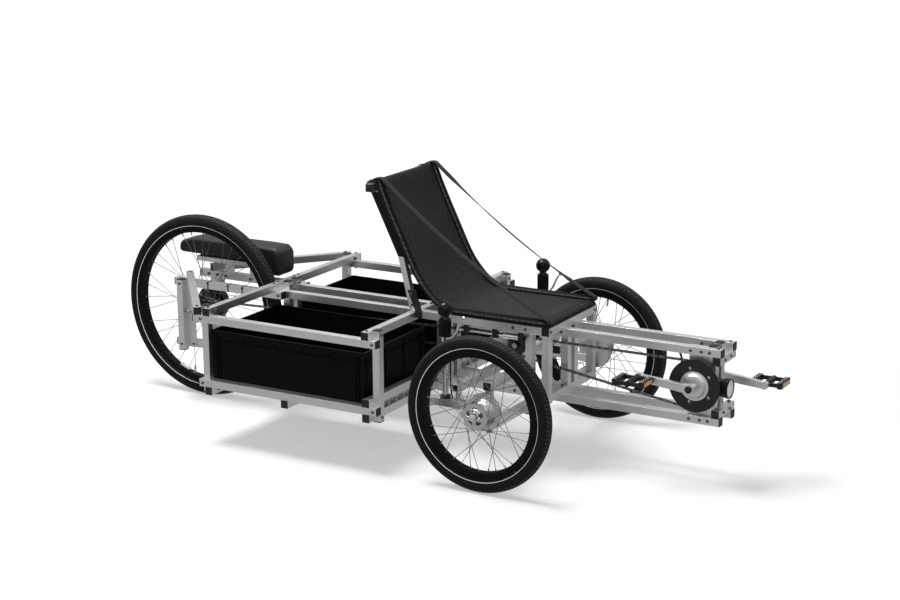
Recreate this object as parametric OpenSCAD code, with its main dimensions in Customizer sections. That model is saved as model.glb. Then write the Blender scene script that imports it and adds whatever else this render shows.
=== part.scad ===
/* [Frame tube] */
// Side of the square aluminium tube
tube = 25; // [24:0.5:26]
// Wall of the square tube
wall = 2; // [1.5:0.5:2.5]
// Thickness of an end cap's face
cap_t = 3; // [2:0.5:4]
// Depth of an end cap's plug
cap_plug = 12; // [8:1:14]

/* [Frame bolts] */
// Shank diameter of a frame bolt
bolt_d = 6; // [5:0.5:6]
// Diameter of a bolt's head
bolt_head_d = 11; // [10:0.5:12]
// Height of a bolt's head
bolt_head_h = 3.5; // [2.5:0.5:4]
// Height of a nut
nut_h = 5; // [4:0.5:5.5]

/* [Cargo frame] */
// Half of the width over the side rails
cargo_half_w = 463; // [455:1:475]
// Underside of the bottom rails above the ground
deck_z = 198; // [192:1:206]
// Height from the underside of the bottom rails to that of the top rails
cargo_h = 220; // [212:1:240]
// Distance from the front axle back to the cargo frame's front face
cargo_front = 351; // [340:1:360]
// Distance from the front axle back to the cargo frame's rear face
cargo_rear = 1040; // [1036:1:1044]
// How far the top rails run past the rear posts
rail_overhang = 17; // [16:1:20]
// Distance of the middle cross tube from the rear one
mid_cross_gap = 303; // [250:1:350]
// Inner face of the middle pair of tubes from the center
beam_in = 37; // [36:0.5:37.5]
// Thickness of a deck panel's top skin
deck_skin = 4; // [3:0.5:6]
// Number of ribs under a deck panel
deck_ribs = 9; // [5:1:12]

/* [Rear wheel] */
// Distance between the front and the rear axle
wheelbase = 1358; // [1350:1:1366]
// Rear tyre's outer radius
rear_r = 330; // [322:1:336]
// Rear tyre's width
rear_tyre_w = 50; // [44:1:52]
// Outer radius of the rear rim
rear_rim_r = 284; // [280:1:286]
// Diameter of the rear axle
rear_axle_d = 10; // [9:0.5:12]
// Radius of the rear hub's flanges
rear_flange_r = 42; // [38:1:48]
// Distance of a rear flange from the wheel's middle
rear_flange_y = 28; // [26:1:31]
// Radius of the rear brake drum
drum_r = 60; // [50:1:66]

/* [Front wheels] */
// Distance between the middles of the front wheels
track = 857; // [850:1:880]
// Front tyre's outer radius
front_r = 250; // [244:1:254]
// Front tyre's width
front_tyre_w = 47; // [42:1:50]
// Outer radius of a front rim
front_rim_r = 207; // [203:1:210]
// Depth of a front rim
front_rim_depth = 23; // [18:1:26]
// Depth of the rear rim
rear_rim_depth = 16; // [13:1:20]
// Width of every rim
rim_w = 30; // [26:1:32]
// Thickness of a rim's walls
rim_wall = 3; // [2:0.5:4]
// Thickness of every tyre's casing
casing = 3; // [2:0.5:4]
// Number of spokes in a wheel
spokes = 36; // [20:4:36]
// Diameter of a spoke
spoke_d = 2; // [1.8:0.2:2.6]

/* [Front axle and steering] */
// Distance of a kingpin from the center
kingpin_y = 360; // [350:1:366]
// Diameter of a kingpin
kingpin_d = 12; // [10:1:14]
// Outer diameter of the knuckle that turns on a kingpin
knuckle_d = 28; // [24:1:32]
// Underside of the lower axle beam above the ground
axle_low_z = 181; // [178:1:184]
// Height from the lower axle beam's underside to the upper one's
axle_h = 132; // [126:1:138]
// Inner end of an upper axle beam from the center
axle_gap = 100; // [80:1:110]
// Height of a steering arm's underside
arm_z = 228; // [222:1:232]
// Length of a steering arm behind the axle
arm_l = 235; // [215:1:245]
// Distance of the tie rod behind the axle
tie_x = 125; // [118:1:130]
// Height of the tie rod above the steering arm
tie_lift = 30; // [24:1:36]
// Distance of a steering handle behind the axle
handle_x = 172; // [165:1:190]
// Diameter of a steering handle's tube
handle_d = 20; // [18:1:22]
// Height of the top of a steering handle's tube
handle_top = 520; // [516:1:560]
// Length of a hand grip
grip_l = 56; // [50:1:58]
// Diameter of a hand grip
grip_d = 40; // [34:1:42]
// Diameter of the ball on a handle
ball_d = 46; // [40:1:50]
// Length of a brake lever's blade
blade_l = 62; // [50:1:70]

/* [Boom] */
// Underside of the boom's lower tubes above the ground
boom_z = 206; // [204:1:208]
// Height from the underside of the lower boom tubes to that of the upper
boom_h = 219; // [216:1:226]
// Distance from the front axle to the boom's front end
boom_front = 639; // [636:1:655]

/* [Seat] */
// Underside of the seat rails above the ground
seat_z = 450; // [446:1:460]
// Half of the width over the seat rails
seat_half_w = 172; // [168:1:180]
// Distance from the front axle to the seat's front cross tube
seat_front = 84; // [80:1:88]
// Side of the seat back's square tube
back_tube = 20; // [18:1:22]
// Diameter of the sleeves along the sling's edges
sleeve_d = 28; // [24:1:30]
// Thickness of the sling between its sleeves
sling_t = 4; // [3:0.5:6]
// Width of a webbing strap
strap_w = 25; // [20:1:28]
// Thickness of a webbing strap
strap_t = 2; // [1.5:0.5:3]

/* [Pedal drive] */
// Distance from the front axle to the crank's axis
crank_x = 554; // [550:1:556]
// Height of the crank's axis
crank_z = 325; // [320:1:330]
// Length of a crank
crank_l = 170; // [160:1:175]
// Angle of the near crank above the line that points back
crank_tilt = 5; // [0:1:30]
// Teeth of the chainring
ring_teeth = 38; // [34:1:38]
// Teeth of both intermediate sprockets and of the rear sprocket
cog_teeth = 15; // [13:1:17]
// Pitch of the chain
pitch = 12.7; // [12.7]
// Distance of the front chain's plane from the center
front_chain_y = 53; // [52.5:0.5:55]
// Distance of the rear chain's plane from the center
rear_chain_y = 43.5; // [42.5:0.5:44]
// Distance of the intermediate sprockets behind the front axle
mid_cog_x = 70; // [60:1:72]
// Height of the intermediate sprockets
mid_cog_z = 370; // [362:1:376]
// Diameter of the crank's spindle
spindle_d = 17; // [15:1:20]
// Length of a pedal along the crank's sweep
pedal_l = 104; // [90:1:110]
// Width of a pedal
pedal_w = 80; // [70:1:90]

/* [Boxes] */
// Length of a cargo box
box_l = 595; // [560:1:600]
// Width of a cargo box
box_w = 385; // [360:1:386]
// Height of a cargo box
box_h = 165; // [120:1:180]
// Thickness of a cargo box's walls
box_wall = 3; // [2:0.5:5]

/* [Battery] */
// Length of the battery
battery_l = 437; // [420:1:450]
// Width of the battery
battery_w = 104; // [96:1:106]
// Height of the battery's slim part
battery_h = 58; // [48:1:64]
// Length of the battery's deep front end
battery_head_l = 76; // [50:1:90]

/* [Hidden] */
$fn = 48;

// Clearances: a shaft in its bore all round, parts that pass face to face, and neighbors
// of one sub-part that meet
run = 0.05;
pass = 0.3;
apart = 0.1;
half = tube / 2;

// Heights and places of the frame's tubes, each by its lower or rear face
top_z = deck_z + cargo_h;
side_y = cargo_half_w - tube;
post_y = side_y - tube;
front_post_x = -cargo_front - tube;
front_cross_x = front_post_x - tube;
rear_post_x = -cargo_rear;
rear_cross_x = rear_post_x + tube;
mid_cross_x = rear_cross_x + mid_cross_gap;
arm_y = beam_in + tube;
inner_post_y = beam_in - tube;
rear_inner_post_x = rear_cross_x + tube;
deck_top = deck_z + tube;
rear_axle_x = -wheelbase;
arm_rear_x = rear_axle_x - 62;
arm_front_x = rear_inner_post_x + tube;
drop_post_x = rear_axle_x - 37;
drop_plate_t = 4;
drop_plate_x = drop_post_x + tube;
drop_plate_l = 36;
boom_top_z = boom_z + boom_h;
boom_cross_x = boom_front - tube;
boom_post_x = boom_cross_x - tube;
splice_x = -cargo_front;
seat_in = seat_half_w - tube;
seat_post_y = seat_in - tube;
seat_post_x = half;
axle_top_z = axle_low_z + axle_h;
mid_post_x = -mid_cog_x - half;
beam_end_y = kingpin_y + 15;

// The steering arm's inner face, and the tie rod's height
steer_y = kingpin_y - half - tube;
tie_z = arm_z + tube + tie_lift;
tie_pin_y = steer_y + half;
tie_pin_d = 8;
tie_slot = 7;

// Sprockets: pitch radius and tip radius for a number of teeth
function pitch_r(n) = pitch / (2 * sin(180 / n));
function tip_r(n) = pitch_r(n) + 3;
cog_t = 2.2;
chain_h = 8.4;
chain_w = 7;

// Wheels
hub_bore_front = kingpin_d;
wheel_y = track / 2;
drum_in = -37;
hub_out = 32;
stub_end = wheel_y + 47;

// Whole length, and the shift that puts the origin under the middle of it
pedal_front = crank_x + crank_l * cos(crank_tilt) + pedal_l / 2;
origin_x = (wheelbase + rear_r - pedal_front) / 2;

// Seat back: side line of its posts, and the bolts of its foot plates
back_foot = [-389, seat_z + tube + 1];
back_bend = [-437, 675];
back_top = [-526, 852];
back_y = seat_half_w - back_tube;
back_bolts = [[-386, seat_z + tube + 18], [-391, seat_z + tube + 52]];
plate_t = 4;

// Tubes: node, axis, lowest corner, length, and which ends carry a cap
function both(y) = [y, -y - tube];
function bars_x(n, x0, x1, y, z, caps = [1, 1]) =
    [for (v = both(y)) [n, 0, [x0, v, z], x1 - x0, caps]];
function bars_z(n, x, y, z0, z1, caps = [1, 1]) =
    [for (v = both(y)) [n, 2, [x, v, z0], z1 - z0, caps]];
function bar_y(n, x, reach, z, caps = [1, 1]) = [[n, 1, [x, -reach, z], 2 * reach, caps]];

BARS = concat(
    bars_x("side_rails", rear_post_x - rail_overhang, -cargo_front, side_y, top_z),
    bars_x("side_rails", rear_post_x, -cargo_front, side_y, deck_z),
    bar_y("cargo_cross_tubes", rear_cross_x, cargo_half_w, top_z + tube),
    bar_y("cargo_cross_tubes", front_cross_x, cargo_half_w, top_z + tube),
    bar_y("cargo_cross_tubes", rear_cross_x, cargo_half_w, deck_z - tube),
    bar_y("cargo_cross_tubes", mid_cross_x, cargo_half_w, deck_z - tube),
    bar_y("cargo_cross_tubes", front_cross_x, cargo_half_w, deck_z - tube),
    bar_y("cargo_cross_tubes", front_cross_x, cargo_half_w, deck_top),
    bars_z("cargo_posts", front_post_x, post_y, deck_z - tube, top_z + 2 * tube),
    bars_z("cargo_posts", rear_post_x, post_y, deck_z - tube, top_z + 2 * tube),
    bars_x("center_beams", rear_cross_x, -cargo_front, beam_in, top_z, [1, 0]),
    bars_x("center_beams", rear_cross_x, -cargo_front, beam_in, deck_z, [1, 0]),
    bars_z("cargo_posts", front_post_x, inner_post_y, deck_z - tube, top_z + 2 * tube),
    bars_z("cargo_posts", rear_inner_post_x, inner_post_y, deck_z - tube, top_z + 2 * tube),
    bars_x("rear_arms", arm_rear_x, arm_front_x, arm_y, top_z),
    bars_x("rear_arms", arm_rear_x, arm_front_x, arm_y, deck_z),
    bars_z("dropouts", drop_post_x, arm_y + tube, deck_z - 8, top_z + tube),
    bars_x("seat_rails", front_cross_x + tube, seat_front - apart, seat_in, seat_z, [0, 0]),
    bar_y("seat_rails", seat_front, seat_half_w, seat_z),
    bars_z("seat_posts", seat_front, seat_in, boom_z + tube, seat_z, [1, 0]),
    bars_z("seat_posts", seat_post_x, seat_post_y, axle_low_z - 3, seat_z + tube, [1, 0]),
    bars_x("boom_tubes", splice_x, boom_front, beam_in, boom_z, [0, 1]),
    bars_x("boom_tubes", splice_x, boom_front, beam_in, boom_top_z, [0, 1]),
    bar_y("boom_cross_tubes", boom_cross_x, beam_in + tube, boom_z + tube),
    bar_y("boom_cross_tubes", boom_cross_x, beam_in + tube, boom_top_z - tube),
    bar_y("boom_cross_tubes", seat_front, seat_in, boom_z + tube, [0, 0]),
    bars_z("boom_posts", boom_post_x, inner_post_y, boom_z, boom_top_z + tube),
    bars_z("boom_posts", splice_x, inner_post_y, boom_z, boom_top_z + tube - cap_t, [1, 0]),
    bars_z("boom_posts", seat_front, inner_post_y, boom_z + 2 * tube, boom_top_z + tube, [0, 0]),
    [["boom_posts", 2, [mid_post_x, -beam_in, boom_z], boom_h + tube, [1, 1]]],
    bar_y("seat_back_frame", back_top[0] - tube, seat_half_w + 13, back_top[1] + apart),
    bar_y("axle_beams", -half, beam_end_y, axle_low_z),
    [["axle_beams", 1, [-half, axle_gap, axle_top_z], beam_end_y - axle_gap, [1, 1]],
     ["axle_beams", 1, [-half, -beam_end_y, axle_top_z], beam_end_y - axle_gap, [1, 1]]]);

shaft_d = 10;
shaft_out = front_chain_y + 8;

// Bracket plates that hold the drive unit between the boom's tubes
bracket_t = 6;
bracket_x = crank_x - 28;
bracket_l = boom_post_x - 1 - bracket_x;
bracket_bolts = [bracket_x + 13, bracket_x + bracket_l - 13];
housing_r = min(33, boom_post_x - crank_x - 2);

// Feet of the battery's mount on the far rear arm
foot_t = 4;
foot_l = 40;
mount_feet = [rear_axle_x + 50, rear_axle_x + 158];
mount_z = top_z + 2 * tube + 4;

// Bolts: head seat, outward direction, grip, shank diameter, and 1 where a nut closes it
function bolts_x(x, y, z, way, grip, nut = 1) =
    [for (s = [-1, 1]) [[x, s * y, z], [way, 0, 0], grip, bolt_d, nut]];
function bolts_y(x, z, out, grip, nut = 1) =
    [for (s = [-1, 1]) [[x, s * out, z], [0, s, 0], grip, bolt_d, nut]];
function bolts_z(x, y, z, way, grip, nut = 1) =
    [for (s = [-1, 1]) [[x, s * y, z], [0, 0, way], grip, bolt_d, nut]];

// A corner where rail, cross tube and post pass each other: one bolt along each axis.
// Below the deck the upright bolt ends inside the rail, so that the boxes slide over it.
function corner(rail_y, post_x, cross_x, rail_z, top) = concat(
    bolts_y(post_x + half, rail_z + half, rail_y + tube, 2 * tube),
    bolts_z(cross_x + half, rail_y + half, top ? rail_z + 2 * tube : rail_z - tube,
        top ? 1 : -1, top ? 2 * tube : tube + wall),
    bolts_x(post_x > cross_x ? post_x + tube : post_x, rail_y - half,
        top ? rail_z + 3 * half : rail_z - half, post_x > cross_x ? 1 : -1, 2 * tube));

stay_from = [rear_post_x - 8, side_y + 13];
stay_to = [drop_plate_x + 8, arm_y + half];

BOLTS = concat(
    corner(side_y, front_post_x, front_cross_x, top_z, true),
    corner(side_y, rear_post_x, rear_cross_x, top_z, true),
    corner(side_y, rear_post_x, rear_cross_x, deck_z, false),
    corner(side_y, front_post_x, front_cross_x, deck_z, false),
    corner(beam_in, front_post_x, front_cross_x, top_z, true),
    corner(beam_in, front_post_x, front_cross_x, deck_z, false),
    bolts_z(mid_cross_x + half, side_y + half, deck_z - tube, -1, tube + wall),
    bolts_z(mid_cross_x + half, beam_in + half, deck_z - tube, -1, tube + wall),
    bolts_z(front_cross_x + half, side_y + half, deck_z + 2 * tube, 1, tube + wall),
    bolts_y(rear_inner_post_x + half, top_z + half, arm_y + tube, 3 * tube),
    bolts_y(rear_inner_post_x + half, deck_z + half, arm_y + tube, 3 * tube),
    bolts_x(rear_inner_post_x + tube, inner_post_y + half, top_z + 3 * half, 1, 2 * tube),
    bolts_x(rear_inner_post_x + tube, inner_post_y + half, deck_z - half, 1, 2 * tube),
    [for (y = [beam_in + half, arm_y + half], b = bolts_z(rear_cross_x + half, y,
        top_z + 2 * tube, 1, 2 * tube)) b],
    [for (y = [beam_in + half, arm_y + half], b = bolts_z(rear_cross_x + half, y,
        deck_z - tube, -1, tube + wall)) b],
    [for (z = [top_z, deck_z], b = bolts_y(drop_post_x + half, z + half, arm_y + 2 * tube,
        2 * tube)) b],
    [for (z = [top_z, deck_z], b = bolts_y(drop_plate_x + drop_plate_l - 11, z + half,
        arm_y + tube + drop_plate_t, tube + drop_plate_t)) b],
    bolts_z(stay_from[0], stay_from[1], top_z + 2 * tube, 1, 2 * tube),
    bolts_z(stay_to[0], stay_to[1], top_z + 2 * tube, 1, 2 * tube),
    bolts_x(seat_front + tube, seat_in + half, seat_z + half, 1, tube, 0),
    bolts_x(front_cross_x, seat_in + half, seat_z + half, -1, tube, 0),
    bolts_z(seat_front + half, seat_in + half, seat_z + wall, 1, wall, 0),
    bolts_y(seat_front + half, boom_z + 3 * half, seat_half_w, tube, 0),
    bolts_y(seat_post_x + half, seat_z + half, seat_half_w, 2 * tube),
    [for (p = back_bolts, b = bolts_y(p[0], p[1], seat_half_w + plate_t, back_tube + plate_t)) b],
    bolts_y(-19, seat_z + half, seat_half_w, tube),
    [for (z = [axle_low_z, axle_top_z], b = bolts_x(seat_post_x + tube, seat_post_y + half,
        z + half, 1, 2 * tube)) b],
    bolts_z(0, beam_in + half, axle_low_z, -1, boom_z + tube - axle_low_z),
    bolts_z(seat_front + half, beam_in + half, boom_z, -1, 2 * tube),
    [for (x = [splice_x, boom_post_x, seat_front], b = bolts_y(x + half, boom_top_z + half,
        beam_in + tube, 2 * tube)) b],
    [for (x = [splice_x, boom_post_x], b = bolts_y(x + half, boom_z + half,
        beam_in + tube, 2 * tube)) b],
    [for (z = [boom_z, boom_top_z]) [[mid_post_x + half, -beam_in - tube, z + half],
        [0, -1, 0], 2 * tube, bolt_d, 1]],
    [for (z = [0.35, 0.7], b = bolts_x(splice_x + tube, inner_post_y + half,
        boom_z + z * boom_h, 1, 2 * tube)) b],
    [for (z = [boom_z + tube, boom_top_z - tube], b = bolts_x(boom_front, inner_post_y + half,
        z + half, 1, 2 * tube)) b],
    bolts_z(boom_cross_x + half, beam_in + half, boom_z, -1, 2 * tube),
    bolts_z(boom_cross_x + half, beam_in + half, boom_top_z + tube, 1, 2 * tube),
    [for (x = bracket_bolts, z = [boom_z, boom_top_z], b = bolts_y(x, z + half,
        beam_in + tube, tube + bracket_t)) b],
    [for (x = mount_feet) [[x, arm_y + tube + foot_t, top_z + half], [0, 1, 0],
        tube + foot_t, bolt_d, 1]]);

// Pins that pass through the tubes, written as bolts: kingpins and the sprocket shaft
PINS = concat(
    [for (s = [-1, 1]) [[0, s * kingpin_y, axle_top_z + tube], [0, 0, 1], axle_h + tube, kingpin_d, 1]],
    [[[-mid_cog_x, -shaft_out, mid_cog_z], [0, -1, 0], shaft_out - inner_post_y, shaft_d, 1]]);
// Everything is drawn about the front axle and moved as a whole
module placed() {
    translate([origin_x, 0, 0]) children();
}

module mirrored() {
    for (s = [0, 1]) mirror([0, s, 0]) children();
}

// Turns a shape that points along +Z so that it points along v
module aim(v) {
    rotate([0, acos(v[2] / norm(v)), atan2(v[1], v[0])]) children();
}

// A rod from point a to point b
module rod(a, b, d) {
    translate(a) aim(b - a) cylinder(h = norm(b - a), d = d);
}

// True where a pin passes through the box from lo to hi
function inside(v, lo, hi) = v > lo && v < hi;
function reach(p) = p[0] - p[1] * (p[2] + (p[4] == 1 ? nut_h : insert_l));
function crosses(p, lo, hi) =
    len([for (i = [0:2]) if (p[1][i] == 0 && inside(p[0][i], lo[i], hi[i])) i]) == 2
    && len([for (i = [0:2]) if (p[1][i] != 0
        && min(p[0][i], reach(p)[i]) < hi[i] - wall / 2
        && max(p[0][i], reach(p)[i]) > lo[i] + wall / 2) i]) == 1;

// The hole that a bolt or pin needs
module pin_hole(p, play = 0.4) {
    translate(p[0] + p[1]) aim(-p[1]) cylinder(h = p[2] + nut_h + 2.5, d = p[3] + play);
}

function axis_size(axis, l, w) = [for (i = [0:2]) i == axis ? l : w];
function axis_point(axis, v) = [for (i = [0:2]) i == axis ? v : 0];

// One hollow tube of the list, with every hole that a bolt or pin makes in it
module bar(b) {
    size = axis_size(b[1], b[3], tube);
    bore = axis_size(b[1], b[3] + 2, tube - 2 * wall);
    difference() {
        translate(b[2]) difference() {
            cube(size);
            translate([for (i = [0:2]) i == b[1] ? -1 : wall]) cube(bore);
        }
        for (p = concat(BOLTS, PINS)) if (crosses(p, b[2], b[2] + size)) pin_hole(p);
    }
}

module bars(name) {
    color("silver") for (b = BARS) if (b[0] == name) bar(b);
}

module side_rails() { bars("side_rails"); }
module cargo_cross_tubes() { bars("cargo_cross_tubes"); }
module cargo_posts() { bars("cargo_posts"); }
module center_beams() { bars("center_beams"); }
module rear_arms() { bars("rear_arms"); }
module boom_tubes() { bars("boom_tubes"); }
module boom_cross_tubes() { bars("boom_cross_tubes"); }
module boom_posts() { bars("boom_posts"); }
module seat_rails() { bars("seat_rails"); }
module seat_posts() { bars("seat_posts"); }
module axle_beams() { bars("axle_beams"); }

// End caps: a face as wide as the tube and a plug inside it
plug_w = tube - 2 * wall - 0.4;
insert_l = 15;
module cap(b, end) {
    size = axis_size(b[1], cap_t, tube);
    plug = axis_size(b[1], cap_plug, plug_w);
    shift = axis_point(b[1], end == 0 ? -cap_t : b[3]);
    inset = [for (i = [0:2]) i == b[1] ? (end == 0 ? 0 : b[3] - cap_plug) : (tube - plug_w) / 2];
    difference() {
        translate(b[2]) {
            translate(shift) cube(size);
            translate(inset) cube(plug);
        }
        far = b[2] + axis_size(b[1], b[3], tube) + size;
        for (p = concat(BOLTS, PINS)) if (crosses(p, b[2] - size, far)) {
            pin_hole(p, 1);
            translate(p[0]) aim(p[1]) cylinder(h = bolt_head_h + 0.5, d = bolt_head_d + 1);
            translate(p[0] - p[1] * (p[2] - 0.5)) aim(-p[1]) cylinder(h = 14, d = p[3] + 8);
        }
    }
}

// Threaded blocks inside open tube ends, where a bolt comes in along the tube
INSERTS = concat(
    [for (s = [-1, 1]) [[seat_front, s * (seat_in + half), seat_z + half], [-1, 0, 0]]],
    [for (s = [-1, 1]) [[front_cross_x + tube, s * (seat_in + half), seat_z + half], [1, 0, 0]]],
    [for (s = [-1, 1]) [[seat_front + half, s * (seat_in + half), seat_z], [0, 0, -1]]],
    [for (s = [-1, 1]) [[seat_front + half, s * seat_in, boom_z + 3 * half], [0, -s, 0]]]);

module insert(e) {
    translate(e[0]) aim(e[1]) difference() {
        translate([-plug_w / 2, -plug_w / 2, 0]) cube([plug_w, plug_w, insert_l]);
        translate([0, 0, -1]) cylinder(h = insert_l + 2, d = bolt_d + 2 * run);
    }
}

module end_caps() {
    color("#1b1c1e") {
        for (b = BARS, e = [0, 1]) if (b[4][e] == 1) cap(b, e);
        for (e = INSERTS) insert(e);
        for (m = [0, 1]) mirror([0, m, 0]) stay_caps();
    }
}

// A bolt with a socket head, and its hexagonal nut as a piece of its own
module bolt(p) {
    shank = p[2] + (p[4] == 1 ? nut_h + 0.5 : insert_l - 3);
    translate(p[0]) aim(p[1]) {
        difference() {
            union() {
                translate([0, 0, -shank]) cylinder(h = shank + 1, d = p[3]);
                cylinder(h = bolt_head_h, d1 = bolt_head_d, d2 = 0.72 * bolt_head_d);
            }
            translate([0, 0, bolt_head_h - 1.8]) cylinder(h = 3, d = 0.42 * bolt_head_d, $fn = 6);
        }
        if (p[4] == 1) translate([0, 0, -p[2] - nut_h]) difference() {
            cylinder(h = nut_h, d = 1.9 * p[3], $fn = 6);
            translate([0, 0, -1]) cylinder(h = nut_h + 2, d = p[3] + 2 * run);
        }
    }
}

module frame_bolts() {
    color("#8d9094") for (p = BOLTS) bolt(p);
}

// Kingpins and the shaft of the intermediate sprockets: a head, a shank and a nut
module pin(p) {
    d = p[3];
    translate(p[0]) aim(p[1]) {
        translate([0, 0, -p[2] - 9]) cylinder(h = p[2] + 9, d = d);
        cylinder(h = 5, d = 1.7 * d);
        translate([0, 0, -p[2] - 7]) difference() {
            cylinder(h = 7, d = 1.9 * d, $fn = 6);
            translate([0, 0, -1]) cylinder(h = 9, d = d + 2 * run);
        }
    }
}

module pivot_pins() {
    color("#9a9da1") for (p = PINS) pin(p);
}

// Deck: two panels, each a skin on lengthwise ribs
module cargo_deck() {
    x0 = rear_cross_x;
    y0 = beam_in + tube + pass;
    w = side_y - pass - y0;
    l = front_post_x - x0;
    gap = (w - deck_skin) / (deck_ribs - 1);
    notch = [arm_front_x + cap_t + pass - x0, arm_y + tube + pass - y0, tube];
    color("#a9acae") mirrored() translate([x0, y0, deck_z]) difference() {
        union() {
            translate([0, 0, tube - deck_skin]) cube([l, w, deck_skin]);
            for (i = [0:deck_ribs - 1]) translate([0, i * gap, 0]) cube([l, deck_skin, tube - deck_skin / 2]);
        }
        translate([-1, -1, -1]) cube(notch + [1, 1, 2]);
    }
}

// Dropouts: the posts from the list, and the plates that take the axle
module dropouts() {
    bars("dropouts");
    y = arm_y + tube;
    color("#b9bbbd") mirrored() difference() {
        translate([drop_plate_x + apart, y, deck_z]) cube([drop_plate_l, drop_plate_t, cargo_h + tube]);
        translate([rear_axle_x, y - 1, rear_r]) rotate([-90, 0, 0])
            cylinder(h = drop_plate_t + 2, d = rear_axle_d + 0.4);
        for (p = BOLTS) if (crosses(p, [drop_plate_x, y - 1, deck_z],
            [drop_plate_x + drop_plate_l, y + drop_plate_t + 1, top_z + tube])) pin_hole(p);
    }
}

// Stays from the rear corners of the cargo frame to the rear arms
stay_v = stay_to - stay_from;
stay_l = norm(stay_v) + 28;
stay_angle = atan2(stay_v[1], stay_v[0]);
module on_stay() {
    translate([stay_from[0], stay_from[1], top_z + tube]) rotate([0, 0, stay_angle])
        translate([-15, 0, 0]) children();
}

module rear_stays() {
    color("silver") mirrored() difference() {
        on_stay() difference() {
            translate([0, -half, 0]) cube([stay_l, tube, tube]);
            translate([-1, -half + wall, wall]) cube([stay_l + 2, tube - 2 * wall, tube - 2 * wall]);
        }
        for (e = [stay_from, stay_to]) translate([e[0], e[1], top_z])
            cylinder(h = 3 * tube, d = bolt_d + 0.4);
    }
}

module stay_caps() {
    on_stay() for (x = [-cap_t, stay_l]) translate([x, -half, 0]) cube([cap_t, tube, tube]);
}

// Seat back: two bent posts, the cross tube on top and the foot plates
function unit(v) = v / norm(v);
function left(v) = [-v[1], v[0]];

// A flat band of width w along the line a, b, c, mitred at b
function band(a, b, c, w) =
    let (n1 = left(unit(b - a)), n2 = left(unit(c - b)), m = unit(n1 + n2) / (unit(n1 + n2) * n1))
    [a + n1 * w / 2, b + m * w / 2, c + n2 * w / 2, c - n2 * w / 2, b - m * w / 2, a - n1 * w / 2];

module side_profile(y, w) {
    translate([0, y + w, 0]) rotate([90, 0, 0]) linear_extrude(w) children();
}

module side_holes() {
    for (p = back_bolts) translate(p) circle(d = bolt_d + 0.4);
}

module seat_back_frame() {
    bars("seat_back_frame");
    color("silver") mirrored() side_profile(back_y, back_tube) difference() {
        polygon(band(back_foot, back_bend, back_top, back_tube));
        side_holes();
    }
}

// Plates that tie the seat back's posts to the seat rails
plate_h = 65;
module seat_plates() {
    x0 = front_cross_x + tube + apart;
    x1 = -352;
    z1 = seat_z + tube;
    color("#1b1c1e") mirrored() side_profile(seat_half_w, plate_t) difference() {
        polygon([[x0, seat_z], [x1, seat_z], [x1, z1],
            [-374, z1 + plate_h], [-404, z1 + plate_h], [x0, z1]]);
        side_holes();
    }
}

// Sling: a sheet between two round sleeves, swept along the seat's side line
sleeve_y = seat_half_w - 2;
flat_z = seat_z + tube + pass + sleeve_d / 2;
SLING_PATH = [[-508, 889.8], [-485, 834.8], [-459, 777.8], [-431, 721.8], [-405, 667.8], [-381, 619.8],
    [-357, 579.8], [-330, 545.8], [-302, 518.8], [-272, 499.8], [-240, flat_z + 1.5], [-200, flat_z],
    [-140, flat_z], [-80, flat_z], [-20, flat_z], [40, flat_z], [seat_front + 14, flat_z]];
function path_dir(i) = unit(SLING_PATH[min(i + 1, len(SLING_PATH) - 1)] - SLING_PATH[max(i - 1, 0)]);

// The sling's side view, thick about its line
module sling_side(thick) {
    m = len(SLING_PATH);
    polygon(concat(
        [for (i = [0:m - 1]) SLING_PATH[i] + front_of(i) * thick / 2],
        [for (i = [m - 1:-1:0]) SLING_PATH[i] - front_of(i) * thick / 2]));
}
function front_of(i) = left(path_dir(i));

// A sheet from edge to edge, and a thick sleeve with broken corners along each edge
module seat_sling() {
    step = sleeve_d / 7;
    color("#232324") {
        side_profile(-sleeve_y, 2 * sleeve_y) sling_side(sling_t);
        for (s = [-1, 1]) {
            side_profile(s * sleeve_y - sleeve_d / 2, sleeve_d) sling_side(sleeve_d - 2 * step);
            side_profile(s * sleeve_y - sleeve_d / 2 + step, sleeve_d - 2 * step) sling_side(sleeve_d);
        }
    }
}

// Straps: two webbing bands drawn tight from the sling's top to its front corners
strap_top = [-495.7, 896];
strap_low = [seat_front + 13, seat_z + tube + pass + sleeve_d + 0.3];
function strap_line(k) = let (u = k / 8) strap_top * (1 - u) + strap_low * u + [0, -26 * 4 * u * (1 - u)];
module seat_straps() {
    line = [for (k = [0:8]) strap_line(k)];
    color("#3a3b3c") mirrored() side_profile(sleeve_y - strap_w / 2, strap_w)
        polygon(concat(line, [for (p = reverse(line)) p + [0, strap_t * 1.25]]));
}

// Wheels: all are drawn about their own center with the axle along Y
module tyre(r, w, rim_r) {
    rotate([90, 0, 0]) rotate_extrude($fn = 120) difference() {
        translate([r - w / 2, 0]) circle(d = w);
        translate([r - w / 2, 0]) circle(d = w - 2 * casing);
        translate([rim_r - w, -w]) square([w, 2 * w]);
    }
}

module rim(rim_r, depth) {
    rotate([90, 0, 0]) rotate_extrude($fn = 120) difference() {
        translate([rim_r - depth, -rim_w / 2]) square([depth, rim_w]);
        translate([rim_r - depth + 2 * rim_wall, -rim_w / 2 + rim_wall])
            square([depth, rim_w - 2 * rim_wall]);
    }
}

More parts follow.
